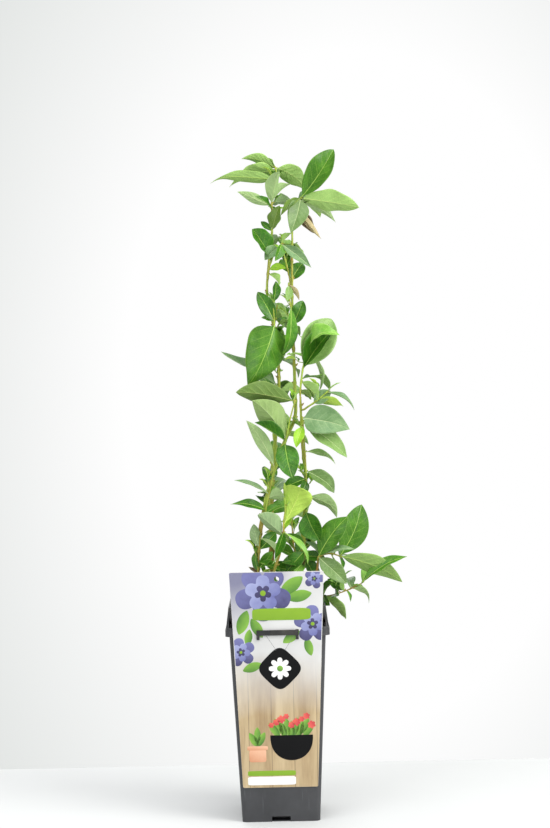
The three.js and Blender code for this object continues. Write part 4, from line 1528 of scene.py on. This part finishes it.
def modelLeaf(rows, steps):
    # one flat blade on a grid of the leaf's own columns, doubled into an upper and a lower sheet
    reach = len(steps)
    startFresh()
    bpy.ops.mesh.primitive_grid_add(x_subdivisions=rows - 1, y_subdivisions=2 * reach, size=2)
    leaf = bpy.context.object
    modify(leaf, "SOLIDIFY", thickness=0.02, offset=0)
    place = np.array([vertex.co[:] for vertex in leaf.data.vertices])
    column = np.round(place[:, 1] * reach).astype(int)
    off = np.array([0, *steps])[np.abs(column)] * np.sign(column)
    share = np.round((place[:, 0] + 1) / 2 * (rows - 1)) / (rows - 1)
    faces = np.array([tuple(face.vertices) for face in leaf.data.polygons])
    parts = []       # upper side, under side or rib
    for face in leaf.data.polygons:
        onRib = abs(face.center.y) * reach < 1 and abs(face.normal.z) > 0.5
        parts.append(2 if onRib else 1 if face.normal.z < -0.5 else 0)
    maps = np.stack([share, 0.5 + off / 2], axis=1)[faces.ravel()]
    drop(leaf)
    return {"share": share, "column": column, "off": off, "side": np.sign(place[:, 2]),
            "faces": faces, "parts": np.array(parts), "maps": maps}


leafModels = {kind: modelLeaf(*grid) for kind, grid in leafGrids.items()}


def bentLeaf(root, leaf, random, kind="fine"):
    # the source's rule for a blade, with its stalk, side veins, waved margin and bent tip
    shape, model = leafShape, leafModels[kind]
    habit = leaf.get("habit", "plain")
    folding, drooping, waving, twisting, footFull, tipFull = leafHabits[habit]
    share, off, side, column = (model[key][:, None] for key in ("share", "off", "side", "column"))
    length, halfWidth = leaf["length"], leaf["width"] / 2
    along = heading(leaf["heading"], leaf["rise"])
    flat = unit(np.array([along[1], -along[0], 0]))
    up = unit(np.cross(flat, along))
    forward = 1 if flat[1] < 0 else -1
    spin = math.radians(twisting) * np.clip(share - shape["twistFrom"], 0, 1) ** 1.5
    turn = (math.radians(leaf["roll"]) + spin) * forward + math.radians(leaf["twist"]) * (share - 0.5)
    normal = up * np.cos(turn) + flat * np.sin(turn)
    across = np.cross(normal, along)

    # half width of the blade, of its stalk and of the rib, and how far out each point lies
    footFull, tipFull = footFull * (0.9 + 0.2 * random()), tipFull * (0.9 + 0.2 * random())
    onBlade = np.clip((share - shape["stalkShare"]) / (1 - shape["stalkShare"]), 0, 1)
    fullest = footFull / (footFull + tipFull)
    full = (onBlade / fullest) ** footFull * ((1 - onBlade) / (1 - fullest)) ** tipFull
    widthFade, thickFade = shape["stalkFade"]
    stalk = shape["stalkHalf"] * np.exp(-(share / widthFade) ** 2)
    stalk = stalk * min(1, length / shape["fullStalk"])
    half = np.maximum(halfWidth * full, stalk + shape["leastHalf"])
    ribFoot, ribTip = shape["ribHalf"]
    rib = (ribFoot + (ribTip - ribFoot) * share) * min(1, length / shape["fullRib"]) / half
    rib = np.clip(rib, 0, shape["ribMost"])
    onRib = column == 0
    wide = np.where(onRib, 0, np.sign(column) * (rib + (1 - rib) * np.abs(off)))

    # fold, bow, droop, waves of the margin and grooves over the side veins
    fold = min(leaf["fold"] * folding, shape["foldMost"])
    phase, beat = random() * math.tau, 1.5 + random() * 1.3
    sweep = ((random() - 0.5) * shape["bow"] + leafBows.get(habit, 0)) * length
    droop = drooping * (0.7 + 0.6 * random())
    wave = waving * (0.6 + 0.8 * random())
    ripple = wave * wide * wide * np.sin(beat * math.tau * share + phase + 1.7 * np.sign(wide))
    sidePhase = shape["veins"] * (share - shape["veinSweep"] * np.abs(off))
    groove = (0.5 + 0.5 * np.cos(math.tau * sidePhase)) ** 2
    groove = groove * np.abs(off) * (1 - np.abs(off)) * 4 * shape["veinDepth"]
    bulge = np.abs(wide) ** shape["cup"] * math.sin(fold)
    pastHalf = np.clip(share - 0.5, 0, 1)
    lift = leaf["arch"] * length * 4 * share * (1 - share) - droop * length * pastHalf ** 2 * 4
    back = abs(droop) * length * pastHalf ** 3 * 3
    thick = shape["thick"] + shape["stalkThick"] * np.exp(-(share / thickFade) ** 2)
    ridge = np.where(onRib & (side < 0), shape["ribHeight"] * (1 - 0.8 * share), 0)
    dip = np.where(onRib & (side > 0), -shape["ribGroove"], 0)
    return (np.array(root) + along * (share * length - back)
            + normal * lift + across * sweep * 4 * share * (1 - share)
            + across * wide * half * math.cos(fold)
            + normal * half * (bulge + ripple - groove)
            + normal * (side * (thick / 2 + ridge) + dip))


def joinLeaves(blades):
    # one mesh out of many bent copies of the model leaves
    tones = sorted({tone for _, tone, _ in blades})
    points, faces, marks, maps = [], [], [], []
    first = 0
    for spot, tone, kind in blades:
        model = leafModels[kind]
        points.append(spot * mm)
        faces.append(model["faces"] + first)
        marks.append(model["parts"] + 3 * tones.index(tone))
        maps.append(model["maps"])
        first += len(spot)
    mesh = bpy.data.meshes.new("leaves")
    mesh.from_pydata(np.concatenate(points).tolist(), [], np.concatenate(faces).tolist())
    mesh.uv_layers.new(name="leafMap").data.foreach_set("uv", np.concatenate(maps).ravel())
    mesh.polygons.foreach_set("material_index", np.concatenate(marks))
    thing = bpy.data.objects.new("leaves", mesh)
    shadeSoft(thing)
    for tone in tones:
        for skin in leafSkins[tone]:
            mesh.materials.append(skin)
    bpy.context.collection.objects.link(thing)
    return thing


spurRule = {
    "every": 26, "from": 0.25, "range": 0.7, "length": 9, "lengthRange": 8, "radius": 0.55,
    "leaves": (0.55, 0.8, 0.94), "leafLength": 10, "leafRange": 9, "leafWidth": 0.45, "leafTurn": 62,
}
twigShape = {
    "sides": 9, "ring": 1.6, "swell": 0.3, "swellReach": 1.6, "ridge": 0.05,
    "sunk": 3, "seat": 0.35, "seatReach": 3.4, "budSize": 1.5,
}
turnedAside = {
    # leaves of the fill that would brush a stem or fill an open place
    ("foliage_right_tip", 7): -16, ("foliage_top_right", 7): -70, ("foliage_back_middle", 6): -30,
    ("foliage_back_low", 3): -38, ("foliage_back_low", 6): -30,
}


def growSpur(number, curve, last, random):
    # a short side twig with small young leaves, round the back of the twig
    rule = spurRule
    at = min(rule["from"] + rule["range"] * random(), last)
    root, along = curve.at(at), curve.direction(at)
    turn, rise = 20 + 140 * random(), 10 + 50 * random()
    reach = rule["length"] + rule["lengthRange"] * random()
    away = heading(turn, rise)
    bend = unit(away + along * 0.6)
    spur = Curve([root, root + away * reach * 0.5, root + (away + bend) * reach * 0.5])
    tube = tubeAlong(spur, lambda share: rule["radius"] * (1.15 - 0.5 * share), 7, 8)
    blades = []
    for k, at in enumerate(rule["leaves"]):
        length = rule["leafLength"] + rule["leafRange"] * random()
        young = {
            "heading": turn + (k - 1) * rule["leafTurn"] + 20 * random(),
            "rise": rise + 30 * (random() - 0.3),
            "length": length, "width": length * rule["leafWidth"],
            "roll": (random() - 0.5) * 80, "arch": 0.05 + 0.08 * random(),
            "fold": 0.25 + 0.3 * random(), "twist": 30 * (random() - 0.5),
        }
        tone = ("fresh", "mid", "lime")[(number + k) % 3]
        blades.append((bentLeaf(spur.at(at), young, random, "young"), tone, "young"))
    return tube, blades


def buildMass(name, shoot):
    shape = twigShape
    curve = twigCurve(shoot)
    random = seeded(shoot["seed"] + 100)
    leaves = leavesOf(shoot)
    last = 1 - twig["sink"] / curve.length
    shares = np.array([min(leaf["at"], last) for leaf in leaves])
    sunk, seatDepth = (0, 0) if "level" in shoot else (shape["sunk"], shape["seat"])

    def radiusAt(share):
        girth = shoot.get("girth", 1) * limbShape["stout"]
        seat = seatDepth * np.exp(-(share * curve.length / shape["seatReach"]) ** 2)
        return (twig["foot"] + (twig["tip"] - twig["foot"]) * share) * girth * (1 - seat)

    def reliefAt(share, angle):
        away = np.abs(share[:, None] - shares[None, :]).min(axis=1) * curve.length
        swell = shape["swell"] * np.exp(-(away / shape["swellReach"]) ** 2)
        return swell + shape["ridge"] * np.sin(4 * angle)

    rings = max(8, int(curve.length / shape["ring"]))
    wood = [tubeAlong(twigCurve(shoot, sunk), radiusAt, shape["sides"], rings, reliefAt)]
    blades, buds = [], []
    for i, leaf in enumerate(leaves):
        leaf["heading"] += turnedAside.get((name, i), 0)
        root = curve.at(shares[i])
        blades.append((bentLeaf(root, leaf, random), leaf["tone"], "fine"))
        out = heading(leaf["heading"], leaf["rise"])
        along = curve.direction(shares[i])
        buds.append(budAt(root + out * 1.1 + along * 0.6, along, out, shape["budSize"]))
    for number in range(max(1, int(curve.length / spurRule["every"]))):
        tube, young = growSpur(number, curve, last, random)
        wood.append(tube)
        blades += young

    wear(joinLeaves(blades), name + "_leaves", None, name)
    wear(joinAll(wood), name + "_twigs", youngBark, name)
    wear(joinAll(buds), name + "_buds", budSkin, name)


for name, shoot in shoots.items():
    buildMass(name, shoot)
print("leaves and twigs done")


# last update of the scene

bpy.context.view_layer.update()
